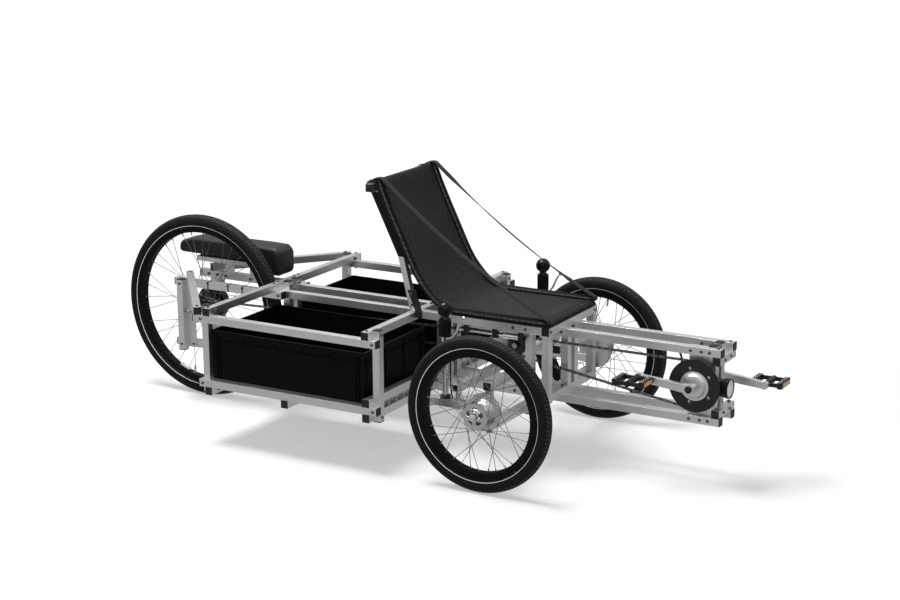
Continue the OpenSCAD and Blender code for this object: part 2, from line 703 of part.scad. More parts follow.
// Crossed spokes between two flanges and the rim's inner face, set so that none touches another
spoke_lean = 62;
module spoke_set(rim_r, depth, flanges) {
    outer = rim_r - depth - spoke_d / 2;
    for (i = [0:spokes - 1]) {
        f = flanges[i % 2];
        way = floor(i / 2) % 2 == 0 ? 1 : -1;
        a = i * 360 / spokes;
        b = a + way * spoke_lean;
        from = f[0] + spoke_d / 2 + 0.4;
        y = way * (spoke_d / 2 + 0.5);
        rod([from * cos(b), f[1] + y, from * sin(b)],
            [outer * cos(a), f[1] * 0.12 + y, outer * sin(a)], spoke_d);
    }
}

// Front hub: brake drum towards the inside, flanges r and y for the spokes
front_flanges = [[58, -27], [42, 24]];
module front_hub_shell() {
    bore = hub_bore_front / 2 + run;
    rotate([-90, 0, 0]) rotate_extrude() polygon([[bore, -29], [52, -29], [52, drum_in], [59, drum_in],
        [59, -32], [front_flanges[0][0], -31], [front_flanges[0][0], -25], [46, -22], [34, -8], [30, 6],
        [32, 18], [front_flanges[1][0], 21], [front_flanges[1][0], 26], [26, 27],
        [22, hub_out], [bore, hub_out]]);
}

rear_flanges = [[rear_flange_r, -rear_flange_y], [rear_flange_r, rear_flange_y]];
module rear_hub() {
    bore = rear_axle_d / 2 + run;
    y = rear_flange_y;
    r = rear_flange_r;
    color("#1d1e20") translate([rear_axle_x, 0, rear_r]) rotate([-90, 0, 0]) rotate_extrude()
        polygon([[bore, -y - 8], [20, -y - 8], [r - 8, -y - 4], [r, -y - 2], [r, -y + 2], [r - 8, -y + 6],
            [r - 10, 0], [r - 8, y - 6], [r, y - 2], [r, y + 2], [r - 6, y + 4], [20, y + 7], [bore, y + 7]]);
}

module rear_axle() {
    axle = rear_axle_d;
    plate = arm_y + tube;
    translate([rear_axle_x, 0, rear_r]) rotate([-90, 0, 0]) {
        color("#a5a8ab") {
            translate([0, 0, -plate - 18]) cylinder(h = 2 * plate + 36, d = axle);
            for (s = [0, 1]) mirror([0, 0, s]) translate([0, 0, plate + drop_plate_t]) difference() {
                cylinder(h = 9, d = 19, $fn = 6);
                translate([0, 0, -1]) cylinder(h = 11, d = axle + 2 * run);
            }
            translate([0, 0, -plate]) sleeve(16, plate - rear_chain_y - 9);
        }
        color("#202123") {
            translate([0, 0, rear_flange_y + 9]) sleeve(2 * drum_r, 30);
            translate([0, 0, rear_flange_y + 39.1]) sleeve(30, plate - rear_flange_y - 39.2);
        }
    }
}

// A sleeve round the rear axle
module sleeve(d, h) {
    difference() {
        cylinder(h = h, d = d);
        translate([0, 0, -1]) cylinder(h = h + 2, d = rear_axle_d + 2 * run);
    }
}

module at_rear() {
    translate([rear_axle_x, 0, rear_r]) children();
}

module rear_tyre() { color("#202022") at_rear() tyre(rear_r, rear_tyre_w, rear_rim_r); }
module rear_rim() { color("#2a2b2d") at_rear() rim(rear_rim_r, rear_rim_depth); }
module rear_spokes() { color("silver") at_rear() spoke_set(rear_rim_r, rear_rim_depth, rear_flanges); }

// A toothed wheel about Y, from y0 on, with a bore
module toothed(n, bore) {
    r = pitch_r(n);
    tip = tip_r(n);
    step = 360 / n;
    difference() {
        linear_extrude(cog_t, center = true) polygon([for (i = [0:n - 1])
            for (q = [[r - 3, -0.3], [r - 3, -0.2], [tip, -0.08], [tip, 0.08], [r - 3, 0.2]])
                q[0] * [cos((i + q[1]) * step), sin((i + q[1]) * step)]]);
        cylinder(h = 20, d = bore, center = true);
    }
}

module rear_sprocket() {
    bore = rear_axle_d + 2 * run;
    y0 = rear_flange_y + 8 + pass;
    color("#b5b7b9") translate([rear_axle_x, 0, rear_r]) rotate([90, 0, 0]) {
        translate([0, 0, rear_chain_y]) toothed(cog_teeth, bore);
        translate([0, 0, y0]) difference() {
            cylinder(h = rear_chain_y + 8 - y0, d = 34);
            translate([0, 0, -1]) cylinder(h = 40, d = bore);
        }
    }
}

module mid_sprockets() {
    bore = shaft_d + 2 * run;
    y0 = beam_in + pass;
    color("#55585b") translate([-mid_cog_x, 0, mid_cog_z]) rotate([90, 0, 0]) {
        for (y = [front_chain_y, rear_chain_y]) translate([0, 0, y]) toothed(cog_teeth, bore);
        translate([0, 0, y0]) difference() {
            cylinder(h = shaft_out - pass - y0, d = 28);
            translate([0, 0, -1]) cylinder(h = 40, d = bore);
        }
    }
}

// A chain as one band round two sprockets, grooved where the teeth run in it
function loop_points(c1, r1, c2, r2) =
    let (v = c2 - c1, base = atan2(v[1], v[0]), a = acos((r1 - r2) / norm(v)))
    concat([for (k = [0:24]) let (t = base + a + k * (360 - 2 * a) / 24) c1 + r1 * [cos(t), sin(t)]],
        [for (k = [0:16]) let (t = base - a + k * 2 * a / 16) c2 + r2 * [cos(t), sin(t)]]);

module chain(y, c1, n1, c2, n2) {
    o = chain_h / 2;
    difference() {
        side_profile(-y - chain_w / 2, chain_w) difference() {
            polygon(loop_points(c1, pitch_r(n1) + o, c2, pitch_r(n2) + o));
            polygon(loop_points(c1, pitch_r(n1) - o, c2, pitch_r(n2) - o));
        }
        for (e = [[c1, n1], [c2, n2]])
            translate([e[0][0], -y, e[0][1]]) rotate([90, 0, 0])
                cylinder(h = cog_t + 1, r = tip_r(e[1]) + 0.4, center = true);
    }
}

mid_cog = [-mid_cog_x, mid_cog_z];
module front_chain() {
    color("#2c2d2f") chain(front_chain_y, mid_cog, cog_teeth, [crank_x, crank_z], ring_teeth);
}
module rear_chain() {
    color("#2c2d2f") chain(rear_chain_y, [rear_axle_x, rear_r], cog_teeth, mid_cog, cog_teeth);
}

// Drive unit: the housing with its spindle bore and the cable's gland
housing_w = 2 * (beam_in - bracket_t - pass);
gland_l = 14;
gland_y = 18;
module motor_housing() {
    color("#232426") translate([crank_x, 0, crank_z]) difference() {
        union() {
            translate([0, housing_w / 2, 0]) rotate([90, 0, 0]) cylinder(h = housing_w, r = housing_r);
            translate([-housing_r - gland_l + 6, gland_y, 0]) rotate([0, 90, 0])
                cylinder(h = gland_l, d = 14);
        }
        rotate([90, 0, 0]) cylinder(h = 200, d = spindle_d + 2 * run, center = true);
    }
}

module motor_brackets() {
    y = beam_in - bracket_t;
    color("#9fa2a5") mirrored() difference() {
        translate([bracket_x, y, boom_z]) cube([bracket_l, bracket_t, boom_h + tube]);
        translate([crank_x, 0, crank_z]) rotate([-90, 0, 0]) cylinder(h = 100, d = spindle_d + 6);
        for (p = BOLTS) if (crosses(p, [bracket_x, y - 1, boom_z],
            [bracket_x + bracket_l, y + bracket_t + 1, boom_top_z + tube])) pin_hole(p);
    }
}

// Chainring with its guard and center cover
guard_r = 84;
module chainring() {
    y = front_chain_y;
    bore = spindle_d + 2 * run;
    translate([crank_x, 0, crank_z]) rotate([90, 0, 0]) {
        color("#4a4c4f") translate([0, 0, y]) difference() {
            toothed(ring_teeth, bore);
            for (a = [0:72:288]) rotate([0, 0, a]) translate([50, 0, 0])
                cylinder(h = 10, d = 26, center = true);
        }
        color("#1e1f21") translate([0, 0, y + 5 + apart]) difference() {
            cylinder(h = 3, r = guard_r);
            translate([0, 0, -1]) cylinder(h = 5, d = bore);
            for (a = [0:72:288]) rotate([0, 0, a + 36]) translate([56, 0, -1]) cylinder(h = 5, d = 13);
        }
        color("#1e1f21") translate([0, 0, y + cog_t / 2 + apart]) difference() {
            cylinder(h = 5 - cog_t / 2 - apart, d = 60);
            translate([0, 0, -1]) cylinder(h = 9, d = bore);
        }
        color("#c3c5c7") translate([0, 0, y + 8 + 2 * apart]) difference() {
            cylinder(h = 9, r1 = 40, r2 = 34);
            translate([0, 0, -1]) cylinder(h = 12, d = bore);
        }
    }
}

// Cranks: each arm with its pedal's pin, the spindle and its end bolts
crank_in = 92;
crank_t = 14;
pedal_in = crank_in + crank_t + 2;
module crank_arm() {
    difference() {
        union() {
            cylinder(h = crank_t, d = 34);
            translate([crank_l, 0, 0]) cylinder(h = crank_t, d = 26);
            linear_extrude(crank_t) polygon([[0, -14], [crank_l, -11], [crank_l, 11], [0, 14]]);
            translate([crank_l, 0, 0]) cylinder(h = crank_t + 2 + pedal_w - 6, d = 9);
        }
        translate([0, 0, -1]) cylinder(h = crank_t + 2, d = spindle_d + 2 * run);
    }
}

module crank_arms() {
    translate([crank_x, 0, crank_z]) rotate([90, 0, 0]) {
        color("#c9cbcd") {
            translate([0, 0, crank_in]) rotate([0, 0, 180 - crank_tilt]) crank_arm();
            mirror([0, 0, 1]) translate([0, 0, crank_in]) rotate([0, 0, -crank_tilt]) crank_arm();
        }
        color("#303134") {
            cylinder(h = 2 * (crank_in + crank_t) + 2, d = spindle_d, center = true);
            for (s = [0, 1]) mirror([0, 0, s]) translate([0, 0, crank_in + crank_t + apart])
                cylinder(h = 4, d = 22);
        }
    }
}

// A platform pedal about its pin, which points along +Z here
module pedal() {
    bar_l = 15;
    difference() {
        union() {
            cylinder(h = pedal_w - 2, d = 20);
            for (z = [0, pedal_w - 10]) translate([-pedal_l / 2 + 4, -6, z]) cube([pedal_l - 8, 12, 8]);
            for (x = [-pedal_l / 2, pedal_l / 2 - bar_l]) translate([x, -10, 0])
                cube([bar_l, 20, pedal_w - 2]);
        }
        translate([0, 0, -1]) cylinder(h = pedal_w - 4, d = 9 + 2 * run);
    }
}

module at_pedal(side) {
    angle = side < 0 ? 180 - crank_tilt : -crank_tilt;
    translate([crank_x + crank_l * cos(angle), 0, crank_z + crank_l * sin(angle)])
        rotate([90, 0, 0]) mirror([0, 0, side > 0 ? 1 : 0]) translate([0, 0, pedal_in]) children();
}

module near_pedal() { color("#1f2022") at_pedal(-1) pedal(); }
module far_pedal() { color("#1f2022") at_pedal(1) pedal(); }

// Headlight on the front posts
lamp_z = 314;
module headlight() {
    translate([boom_post_x + tube, 0, lamp_z]) rotate([0, 90, 0]) {
        color("#1d1e20") cylinder(h = 34, r1 = 27, r2 = 32);
        color("#e4e6e8") translate([0, 0, 34 + apart]) cylinder(h = 3, d = 58);
    }
}

// Steering: everything about the near kingpin, mirrored for the far side
arm_mid = steer_y + half;
stub_d = kingpin_d;
module steering_arm() {
    inner = steer_y;
    color("silver") difference() {
        union() {
            translate([-arm_l, inner, arm_z]) difference() {
                cube([arm_l + half, tube, tube]);
                translate([-1, wall, wall]) cube([arm_l + half - 8, tube - 2 * wall, tube - 2 * wall]);
            }
            translate([0, kingpin_y, axle_low_z + tube + pass])
                cylinder(h = axle_h - tube - 2 * pass, d = knuckle_d);
            translate([0, kingpin_y, front_r]) rotate([-90, 0, 0]) {
                cylinder(h = wheel_y + drum_in - 6.5 - kingpin_y, d = 24);
                cylinder(h = stub_end - kingpin_y, d = stub_d);
            }
        }
        translate([0, kingpin_y, 0]) cylinder(h = 500, d = kingpin_d + 2 * run);
        for (x = [-tie_x, -handle_x]) translate([x, arm_mid, arm_z - 5])
            cylinder(h = tube + 10, d = (x == -tie_x ? tie_pin_d : handle_d) + 2 * run);
        translate([-arm_l + 12, arm_mid, arm_z + half]) rotate([90, 0, 0])
            cylinder(h = 40, d = bolt_d + 0.4, center = true);
    }
    color("#1b1c1e") translate([-arm_l - cap_t - apart, inner, arm_z]) cube([cap_t, tube, tube]);
    color("#8d9094") {
        bolt([[-arm_l + 12, inner + tube + apart, arm_z + half], [0, 1, 0], tube + 2 * apart, bolt_d, 1]);
        translate([-tie_x, arm_mid, 0]) tie_pin();
        translate([0, wheel_y + hub_out + 3, front_r]) rotate([-90, 0, 0]) difference() {
            cylinder(h = 9, d = 22, $fn = 6);
            translate([0, 0, -1]) cylinder(h = 11, d = stub_d + 2 * run);
        }
    }
    color("#8f9295") translate([0, wheel_y + drum_in - 6, front_r]) rotate([-90, 0, 0]) difference() {
        cylinder(h = 4.5, r = 56);
        translate([0, 0, -1]) cylinder(h = 7, d = stub_d + 2 * run);
    }
}

// The upright pin that carries the tie rod: head below, spacer, and nut on top
module tie_pin() {
    low = arm_z;
    high = tie_z + tube + pass;
    translate([0, 0, low - 5 - apart]) cylinder(h = 5, d = 14);
    translate([0, 0, low - 1]) cylinder(h = high + 8 - low, d = tie_pin_d);
    translate([0, 0, low + tube + apart]) difference() {
        cylinder(h = tie_lift - pass - apart, d = 16);
        translate([0, 0, -1]) cylinder(h = tie_lift + 2, d = tie_pin_d + 2 * run);
    }
    translate([0, 0, high]) difference() {
        cylinder(h = 6, d = 14, $fn = 6);
        translate([0, 0, -1]) cylinder(h = 8, d = tie_pin_d + 2 * run);
    }
}

// Tie rod: a bore at the near pin, and a slot at the far one for its change of distance
module tie_rod() {
    reach_y = tie_pin_y + half + tie_slot;
    color("silver") translate([-tie_x, 0, tie_z]) difference() {
        translate([-half, -reach_y, 0]) cube([tube, 2 * reach_y, tube]);
        translate([-half + wall, -reach_y - 1, wall])
            cube([tube - 2 * wall, 2 * reach_y + 2, tube - 2 * wall]);
        translate([0, -tie_pin_y, -1]) cylinder(h = tube + 2, d = tie_pin_d + 2 * run);
        for (dy = [-1, tie_slot]) translate([0, tie_pin_y + dy, -1])
            cylinder(h = tube + 2, d = tie_pin_d + 2);
        translate([-tie_pin_d / 2 - 1, tie_pin_y - 1, -1]) cube([tie_pin_d + 2, tie_slot + 1, tube + 2]);
    }
}

// Handle: tube, collar, lever clamp with its pivot pin, grip and ball
grip_z = handle_top - 8 - grip_l;
lever_x = handle_d / 2 + 12;
lever_z = grip_z - 6;
lever_pin_d = 5;
module handle() {
    translate([-handle_x, arm_mid, 0]) {
        color("#b5b8bb") translate([0, 0, arm_z + wall])
            cylinder(h = handle_top - arm_z - wall, d = handle_d);
        color("#303134") translate([0, 0, arm_z + tube]) handle_ring(34, 10);
        color("#c3c5c7") {
            translate([0, 0, grip_z - 16]) handle_ring(handle_d + 10, 15);
            difference() {
                translate([handle_d / 2 + 3, -8, grip_z - 16])
                    cube([lever_x + 2 - handle_d / 2, 16, 15]);
                translate([handle_d / 2 + 5.5, -3.3, grip_z - 17]) cube([30, 6.6, 17]);
                translate([lever_x, 0, lever_z]) rotate([90, 0, 0])
                    cylinder(h = 30, d = lever_pin_d + 2 * run, center = true);
            }
            translate([lever_x, 9, lever_z]) rotate([90, 0, 0]) cylinder(h = 18, d = lever_pin_d);
        }
        color("#1c1d1f") translate([0, 0, grip_z]) handle_ring(grip_d, grip_l);
        color("#1a1b1c") translate([0, 0, handle_top + ball_d / 2 - 2]) difference() {
            sphere(d = ball_d);
            translate([0, 0, -ball_d]) cylinder(h = ball_d / 2 + 2, d = ball_d);
        }
    }
}

// A ring round the handle's tube
module handle_ring(d, h) {
    difference() {
        cylinder(h = h, d = d);
        translate([0, 0, -1]) cylinder(h = h + 2, d = handle_d + 2 * run);
    }
}

// Brake lever: an eye on the pin, a blade that leans forward, and a ball end
blade_lean = 19;
module brake_lever() {
    color("#c9cbcd") translate([-handle_x + lever_x, arm_mid, lever_z]) rotate([0, blade_lean, 0])
    difference() {
        union() {
            translate([0, 3, 0]) rotate([90, 0, 0]) cylinder(h = 6, d = 11);
            translate([0, -3, 0]) cube([5, 6, blade_l]);
            translate([2.5, 0, blade_l + 4]) sphere(d = 13);
        }
        rotate([90, 0, 0]) cylinder(h = 20, d = lever_pin_d + 2 * run, center = true);
    }
}

// A round tube of radius r through a list of points
function tube_dir(p, i) = unit(p[min(i + 1, len(p) - 1)] - p[max(i - 1, 0)]);
function side_of(d) = unit(cross(abs(d[2]) > 0.9 ? [1, 0, 0] : [0, 0, 1], d));
function smooth(p, n) = [for (i = [0:len(p) - 2], k = [0:n - 1]) let (u = k / n,
    a = p[max(i - 1, 0)], b = p[i], c = p[i + 1], d = p[min(i + 2, len(p) - 1)])
    ((-a + 3 * b - 3 * c + d) * pow(u, 3) + (2 * a - 5 * b + 4 * c - d) * pow(u, 2)
        + (c - a) * u + 2 * b) / 2];

module sweep(points, r, steps = 4, n = 8) {
    path = concat(smooth(points, steps), [points[len(points) - 1]]);
    m = len(path);
    rings = [for (i = [0:m - 1]) let (d = tube_dir(path, i), s = side_of(d), t = cross(d, s))
        for (k = [0:n - 1]) path[i] + r * (s * cos(k * 360 / n) + t * sin(k * 360 / n))];
    sides = [for (i = [0:m - 2], k = [0:n - 1]) let (a = i * n + k, b = i * n + (k + 1) % n)
        each [[a, b + n, b], [a, a + n, b + n]]];
    ends = [for (k = [1:n - 2]) each [[0, k, k + 1], [(m - 1) * n, (m - 1) * n + k + 1, (m - 1) * n + k]]];
    polyhedron(rings, concat(sides, ends));
}

// Brake cable on one side: lever clamp, down the handle, along the arm, to the brake plate
cable_in = steer_y - 2.8;
BRAKE_ROUTE = [[-handle_x + 12, arm_mid - 14, grip_z - 19], [-handle_x + 12, cable_in, grip_z - 60],
    [-handle_x + 10, cable_in, 330], [-handle_x + 12, cable_in, 275], [-150, cable_in, 250],
    [-110, cable_in, 244], [-70, cable_in, 256], [-50, cable_in + 3, 266],
    [-38, kingpin_y - 10, 282], [-38, wheel_y + drum_in - 8.5, 284]];
module brake_cable() {
    color("#1a1b1c") sweep(BRAKE_ROUTE, 2.5);
}

// Cable from the battery's mount to the drive unit, held under the far middle tubes
cable_r = 3.5;
under = cable_r + 0.3;
power_y = beam_in + tube - 2.7;
low_z = boom_top_z - cable_r - 1.2;
POWER_ROUTE = [[-1160, 98, mount_z - pass], [-1160, 98, 445], [-1152, 97, 420], [-1120, 84, top_z - 8],
    [-1020, 66, top_z - 7], [-1000, 62, top_z - 6], [-940, power_y, top_z - under],
    [-700, power_y, top_z - under], [-440, power_y, top_z - under], [-340, power_y, top_z - under],
    [-280, power_y, low_z], [0, power_y, low_z], [300, power_y, low_z], [430, 44, boom_top_z - 8],
    [470, 30, 390], [480, gland_y, 345], [crank_x - housing_r - gland_l - 14, gland_y, crank_z + 4],
    [crank_x - housing_r - gland_l + 5.4, gland_y, crank_z]];
module power_cable() {
    color("#1a1b1c") sweep(POWER_ROUTE, cable_r, 3);
}

// Guide tubes for the gear cables under the near seat rail, and their clip
guide_y = -seat_half_w + half;
guide_z = [seat_z - 7, seat_z - 22];
module cable_guides() {
    color("#c3c5c7") {
        translate([-225, guide_y, guide_z[0]]) rotate([0, 90, 0]) cylinder(h = 245, d = 6);
        translate([-225, guide_y, guide_z[1]]) rotate([0, 90, 0]) cylinder(h = 165, d = 6);
        translate([-60 + pass, guide_y, guide_z[1]]) rotate([0, 90, 0]) cylinder(h = 55, d = 15);
    }
    color("#1b1c1e") for (x = [-200, -95, -2]) difference() {
        translate([x, guide_y - 10, seat_z - 31]) cube([16, 20, 31]);
        translate([x - 1, guide_y, guide_z[0]]) rotate([0, 90, 0]) cylinder(h = 18, d = 6 + 2 * run);
        translate([x - 1, guide_y, guide_z[1]]) rotate([0, 90, 0])
            cylinder(h = 18, d = x == -2 ? 15 + 2 * run : 6 + 2 * run);
    }
}

// Battery and the mount that it slides forward off
battery_y = 45;
battery_x = rear_inner_post_x - 75 - battery_l;
mount_w = 35;
rail_w = 16;
mount_bar_h = 16;
mount_bar_l = battery_l - battery_head_l - 63;
battery_z = mount_z + 29;
module battery_mount() {
    y = arm_y + tube;
    color("#a9acae") {
        difference() {
            for (x = mount_feet) translate([x - foot_l / 2, y, top_z])
                cube([foot_l, foot_t, mount_z - top_z]);
            for (p = BOLTS)
                if (crosses(p, [arm_rear_x, y - 1, top_z], [rear_cross_x, y + foot_t + 1, mount_z]))
                    pin_hole(p);
        }
        translate([battery_x + 61, y - 17, mount_z]) cube([mount_bar_l, mount_w, mount_bar_h]);
    }
    color("#1d1e20") {
        translate([battery_x + 70, y - 7, mount_z + mount_bar_h + apart])
            cube([mount_bar_l - 16, rail_w, battery_z - mount_z - mount_bar_h - pass - apart]);
    }
}

module battery() {
    x1 = battery_x + battery_l;
    head_x = x1 - battery_head_l;
    low = battery_z - 44;
    high = battery_z + battery_h;
    color("#1f2022") side_profile(battery_y, battery_w) polygon([[battery_x, battery_z],
        [head_x - 8, battery_z], [head_x, battery_z - 8], [head_x, low + 6],
        [head_x + 6, low], [x1 - 8, low], [x1, low + 10], [x1, high - 16],
        [x1 - 20, high - 2], [x1 - 90, high], [battery_x + 60, high - 4],
        [battery_x + 12, high - 16], [battery_x, high - 30]]);
}

// A stacking box: shell, rim, corner and side ribs
module cargo_box() {
    x0 = -(cargo_rear + cargo_front) / 2 - 14 - box_l / 2;
    y0 = side_y - 3 - box_w;
    lip = 3;
    color("#141516") translate([x0, y0, deck_top + pass]) difference() {
        union() {
            translate([lip, lip, 0]) cube([box_l - 2 * lip, box_w - 2 * lip, box_h]);
            translate([0, 0, box_h - 14]) cube([box_l, box_w, 14]);
            translate([0, 0, box_h - 34]) cube([box_l, box_w, 2]);
            for (u = [0.22, 0.42, 0.6, 0.78]) translate([u * box_l - 1.5, 0, box_h - 34])
                cube([3, box_w, 34]);
            for (u = [0.035, 0.055, 0.945, 0.965]) translate([u * box_l - 1.5, 0, 4])
                cube([3, box_w, box_h - 4]);
            for (v = [0.06, 0.35, 0.65, 0.94]) translate([0, v * box_w - 1.5, 4]) cube([box_l, 3, box_h - 4]);
        }
        translate([lip + box_wall, lip + box_wall, box_wall + 1])
            cube([box_l - 2 * lip - 2 * box_wall, box_w - 2 * lip - 2 * box_wall, box_h]);
    }
}

module far_box() { cargo_box(); }
module near_box() { mirror([0, 1, 0]) cargo_box(); }

// Front wheels and steering, drawn for the far side and mirrored for the near one
module side(s) {
    mirror([0, s < 0 ? 1 : 0, 0]) children();
}
module at_front() {
    translate([0, wheel_y, front_r]) children();
}
module front_tyre() { color("#202022") at_front() tyre(front_r, front_tyre_w, front_rim_r); }
module front_rim() { color("#2a2b2d") at_front() rim(front_rim_r, front_rim_depth); }
module front_spokes() { color("silver") at_front() spoke_set(front_rim_r, front_rim_depth, front_flanges); }
module front_hub() { color("#c3c5c7") at_front() front_hub_shell(); }

placed() side_rails();
placed() cargo_cross_tubes();
placed() cargo_posts();
placed() center_beams();
placed() cargo_deck();
placed() rear_arms();
placed() dropouts();
placed() rear_stays();
placed() seat_rails();
placed() seat_posts();
placed() seat_back_frame();
placed() seat_plates();
placed() boom_tubes();
placed() boom_cross_tubes();
placed() boom_posts();
placed() axle_beams();
placed() pivot_pins();
placed() end_caps();
placed() frame_bolts();
placed() seat_sling();
placed() seat_straps();
placed() motor_housing();
placed() motor_brackets();
placed() front_chain();
placed() rear_chain();
placed() cable_guides();
placed() power_cable();
placed() headlight();
placed() battery_mount();
placed() rear_axle();
placed() rear_tyre();
placed() rear_rim();
placed() rear_spokes();
placed() rear_hub();
placed() rear_sprocket();
placed() chainring();
placed() crank_arms();
placed() near_pedal();
placed() far_pedal();
placed() mid_sprockets();
placed() near_box();
placed() far_box();
placed() battery();
placed() tie_rod();
placed() side(-1) front_tyre();  // near_tyre
placed() side(-1) front_rim();  // near_rim
placed() side(-1) front_spokes();  // near_spokes
placed() side(-1) front_hub();  // near_hub
placed() side(-1) steering_arm();  // near_steering_arm
placed() side(-1) handle();  // near_handle
placed() side(-1) brake_lever();  // near_brake_lever
placed() side(-1) brake_cable();  // near_brake_cable
placed() side(1) front_tyre();  // far_tyre
placed() side(1) front_rim();  // far_rim
placed() side(1) front_spokes();  // far_spokes
placed() side(1) front_hub();  // far_hub
placed() side(1) steering_arm();  // far_steering_arm
placed() side(1) handle();  // far_handle
placed() side(1) brake_lever();  // far_brake_lever
placed() side(1) brake_cable();  // far_brake_cable
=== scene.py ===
"""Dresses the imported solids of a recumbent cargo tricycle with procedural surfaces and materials."""
from math import atan2, cos, pi, radians, sin

import bmesh
import bpy
import numpy as np
from mathutils import Matrix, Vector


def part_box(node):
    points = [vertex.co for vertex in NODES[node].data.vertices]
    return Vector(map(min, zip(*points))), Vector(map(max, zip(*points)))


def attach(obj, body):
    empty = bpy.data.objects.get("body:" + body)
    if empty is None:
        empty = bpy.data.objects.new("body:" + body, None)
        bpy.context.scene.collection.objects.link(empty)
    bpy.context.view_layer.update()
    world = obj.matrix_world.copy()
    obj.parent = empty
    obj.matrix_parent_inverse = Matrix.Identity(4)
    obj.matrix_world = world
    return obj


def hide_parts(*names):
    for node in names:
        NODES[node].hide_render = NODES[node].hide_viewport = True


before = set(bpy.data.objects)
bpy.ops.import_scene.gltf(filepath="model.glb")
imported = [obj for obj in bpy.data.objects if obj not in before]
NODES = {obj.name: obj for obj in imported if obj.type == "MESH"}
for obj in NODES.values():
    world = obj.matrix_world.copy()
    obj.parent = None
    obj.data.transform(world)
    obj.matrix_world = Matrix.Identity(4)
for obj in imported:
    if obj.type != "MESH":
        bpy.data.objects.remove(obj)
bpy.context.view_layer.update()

bl_info = {
    "name": "Recumbent cargo tricycle",
    "version": (1, 0, 0),
    "blender": (4, 5, 0),
    "location": "View3D > Sidebar > Tricycle",
    "description": "Surfaces, materials and stage for a bolted recumbent cargo tricycle",
    "category": "Object",
}

MM = 0.001
# The front axle's place along X, from which every size below is measured
_low, _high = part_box("axle_beams")
AXLE_X = (_low.x + _high.x) / 2
SIDES = (("near", -1), ("far", 1))
AHEAD, ACROSS, UP = (1, 0, 0), (0, 1, 0), (0, 0, 1)


def at(points):
    """Points in millimetres from the ground under the front axle, as metres in the row frame."""
    p = np.asarray(points, float) * MM
    p[..., 0] += AXLE_X
    return p


def along(x):
    """One X in millimetres from the front axle, in metres in the row frame."""
    return AXLE_X + x * MM


def coords(*parts):
    """Points whose coordinates are the parts, each a number or an array."""
    return np.stack(np.broadcast_arrays(*parts), -1)


class Patch:
    """Vertices, polygons as one flat run of corners, and a surface coordinate for every corner."""

    def __init__(self, verts, loops, totals, uvs, look=0):
        self.verts = np.asarray(verts, float).reshape(-1, 3)
        self.loops, self.totals, self.uvs, self.look = loops.ravel(), totals, uvs, look

    def made_of(self, look):
        self.look = look
        return self


def grid(points, wrap_u=False, wrap_v=False, u=None, v=None, ends=False):
    """A patch of quads on points[i, j]; it closes on itself along i or j where wrapped.

    u[i] and v[j] are the surface coordinates, one longer than the points where wrapped.
    With ends, the first and last rows are closed by one polygon each.
    """
    nu, nv = points.shape[:2]
    u = np.arange(nu + 1.0) if u is None else u
    v = np.arange(nv + 1.0) if v is None else v
    i, j = np.meshgrid(np.arange(nu - (not wrap_u)), np.arange(nv - (not wrap_v)), indexing="ij")
    i, j = i.ravel(), j.ravel()
    i1, j1 = i + 1, j + 1
    loops = coords(i * nv + j, i * nv + j1 % nv, (i1 % nu) * nv + j1 % nv, (i1 % nu) * nv + j)
    uvs = coords(coords(u[i], u[i], u[i1], u[i1]), coords(v[j], v[j1], v[j1], v[j])).reshape(-1, 2)
    totals = np.full(len(i), 4)
    if ends:
        first, last = np.arange(nv)[::-1], (nu - 1) * nv + np.arange(nv)
        loops = np.concatenate([loops.ravel(), first, last])
        flat = coords(0.0, v[:nv])
        uvs = np.concatenate([uvs, flat[::-1], flat])
        totals = np.concatenate([totals, [nv, nv]])
    return Patch(points, loops, totals, uvs)


def unit(v):
    """Vectors over their own lengths."""
    return v / np.maximum(np.linalg.norm(v, axis=-1, keepdims=True), 1e-12)


def run_length(path):
    """Distance along a path at each of its points."""
    return np.concatenate([[0], np.cumsum(np.linalg.norm(np.diff(path, axis=0), axis=1))])


def round_length(outline):
    """Distance round a closed outline at each of its points, and at its first one again."""
    return run_length(np.concatenate([outline, outline[:1]]))


def rounded_path(points, steps):
    """A curve through the points, in cubic spans; its slope at a point is half the step past that point."""
    p = np.asarray(points, float)
    q = np.concatenate([p[:1], p, p[-1:]])
    t = np.linspace(0, 1, steps, endpoint=False)[None, :, None]
    a, b, c, d = (q[k:len(q) - 3 + k, None, :] for k in range(4))
    spans = b + ((-a + 3 * b - 3 * c + d) * t ** 3 + (2 * a - 5 * b + 4 * c - d) * t ** 2 + (c - a) * t) / 2
    return np.concatenate([spans.reshape(-1, p.shape[1]), p[-1:]])


def sweep(path, outline, hint=ACROSS):
    """An outline carried along a path: point (i, j) is path[i] + outline[j, 0] side + outline[j, 1] up.

    side is across the path and the hint, up is across both. outline may change with i. Both ends are closed.
    """
    outline = np.broadcast_to(outline, (len(path),) + outline.shape[-2:])
    run = unit(np.gradient(path, axis=0))
    side = unit(np.cross(run, np.broadcast_to(np.asarray(hint, float), run.shape)))
    up = np.cross(side, run)
    points = path[:, None] + outline[..., :1] * side[:, None] + outline[..., 1:] * up[:, None]
    return grid(points, False, True, run_length(path), round_length(outline[0]), True)


def ring(r, sides):
    """A circle: point j is r (cos t, sin t), with t in equal steps."""
    t = np.linspace(0, 2 * pi, sides, endpoint=False)
    return r * coords(np.cos(t), np.sin(t))


def rounded_rect(w, h, r, corner=4):
    """A rectangle w by h whose corners are quarter circles of radius r."""
    t = np.linspace(0, pi / 2, corner)
    parts = []
    for k, (sx, sy) in enumerate([(1, 1), (-1, 1), (-1, -1), (1, -1)]):
        centre = np.array([sx * (w / 2 - r), sy * (h / 2 - r)])
        parts.append(centre + r * coords(np.cos(t + k * pi / 2), np.sin(t + k * pi / 2)))
    return np.concatenate(parts)


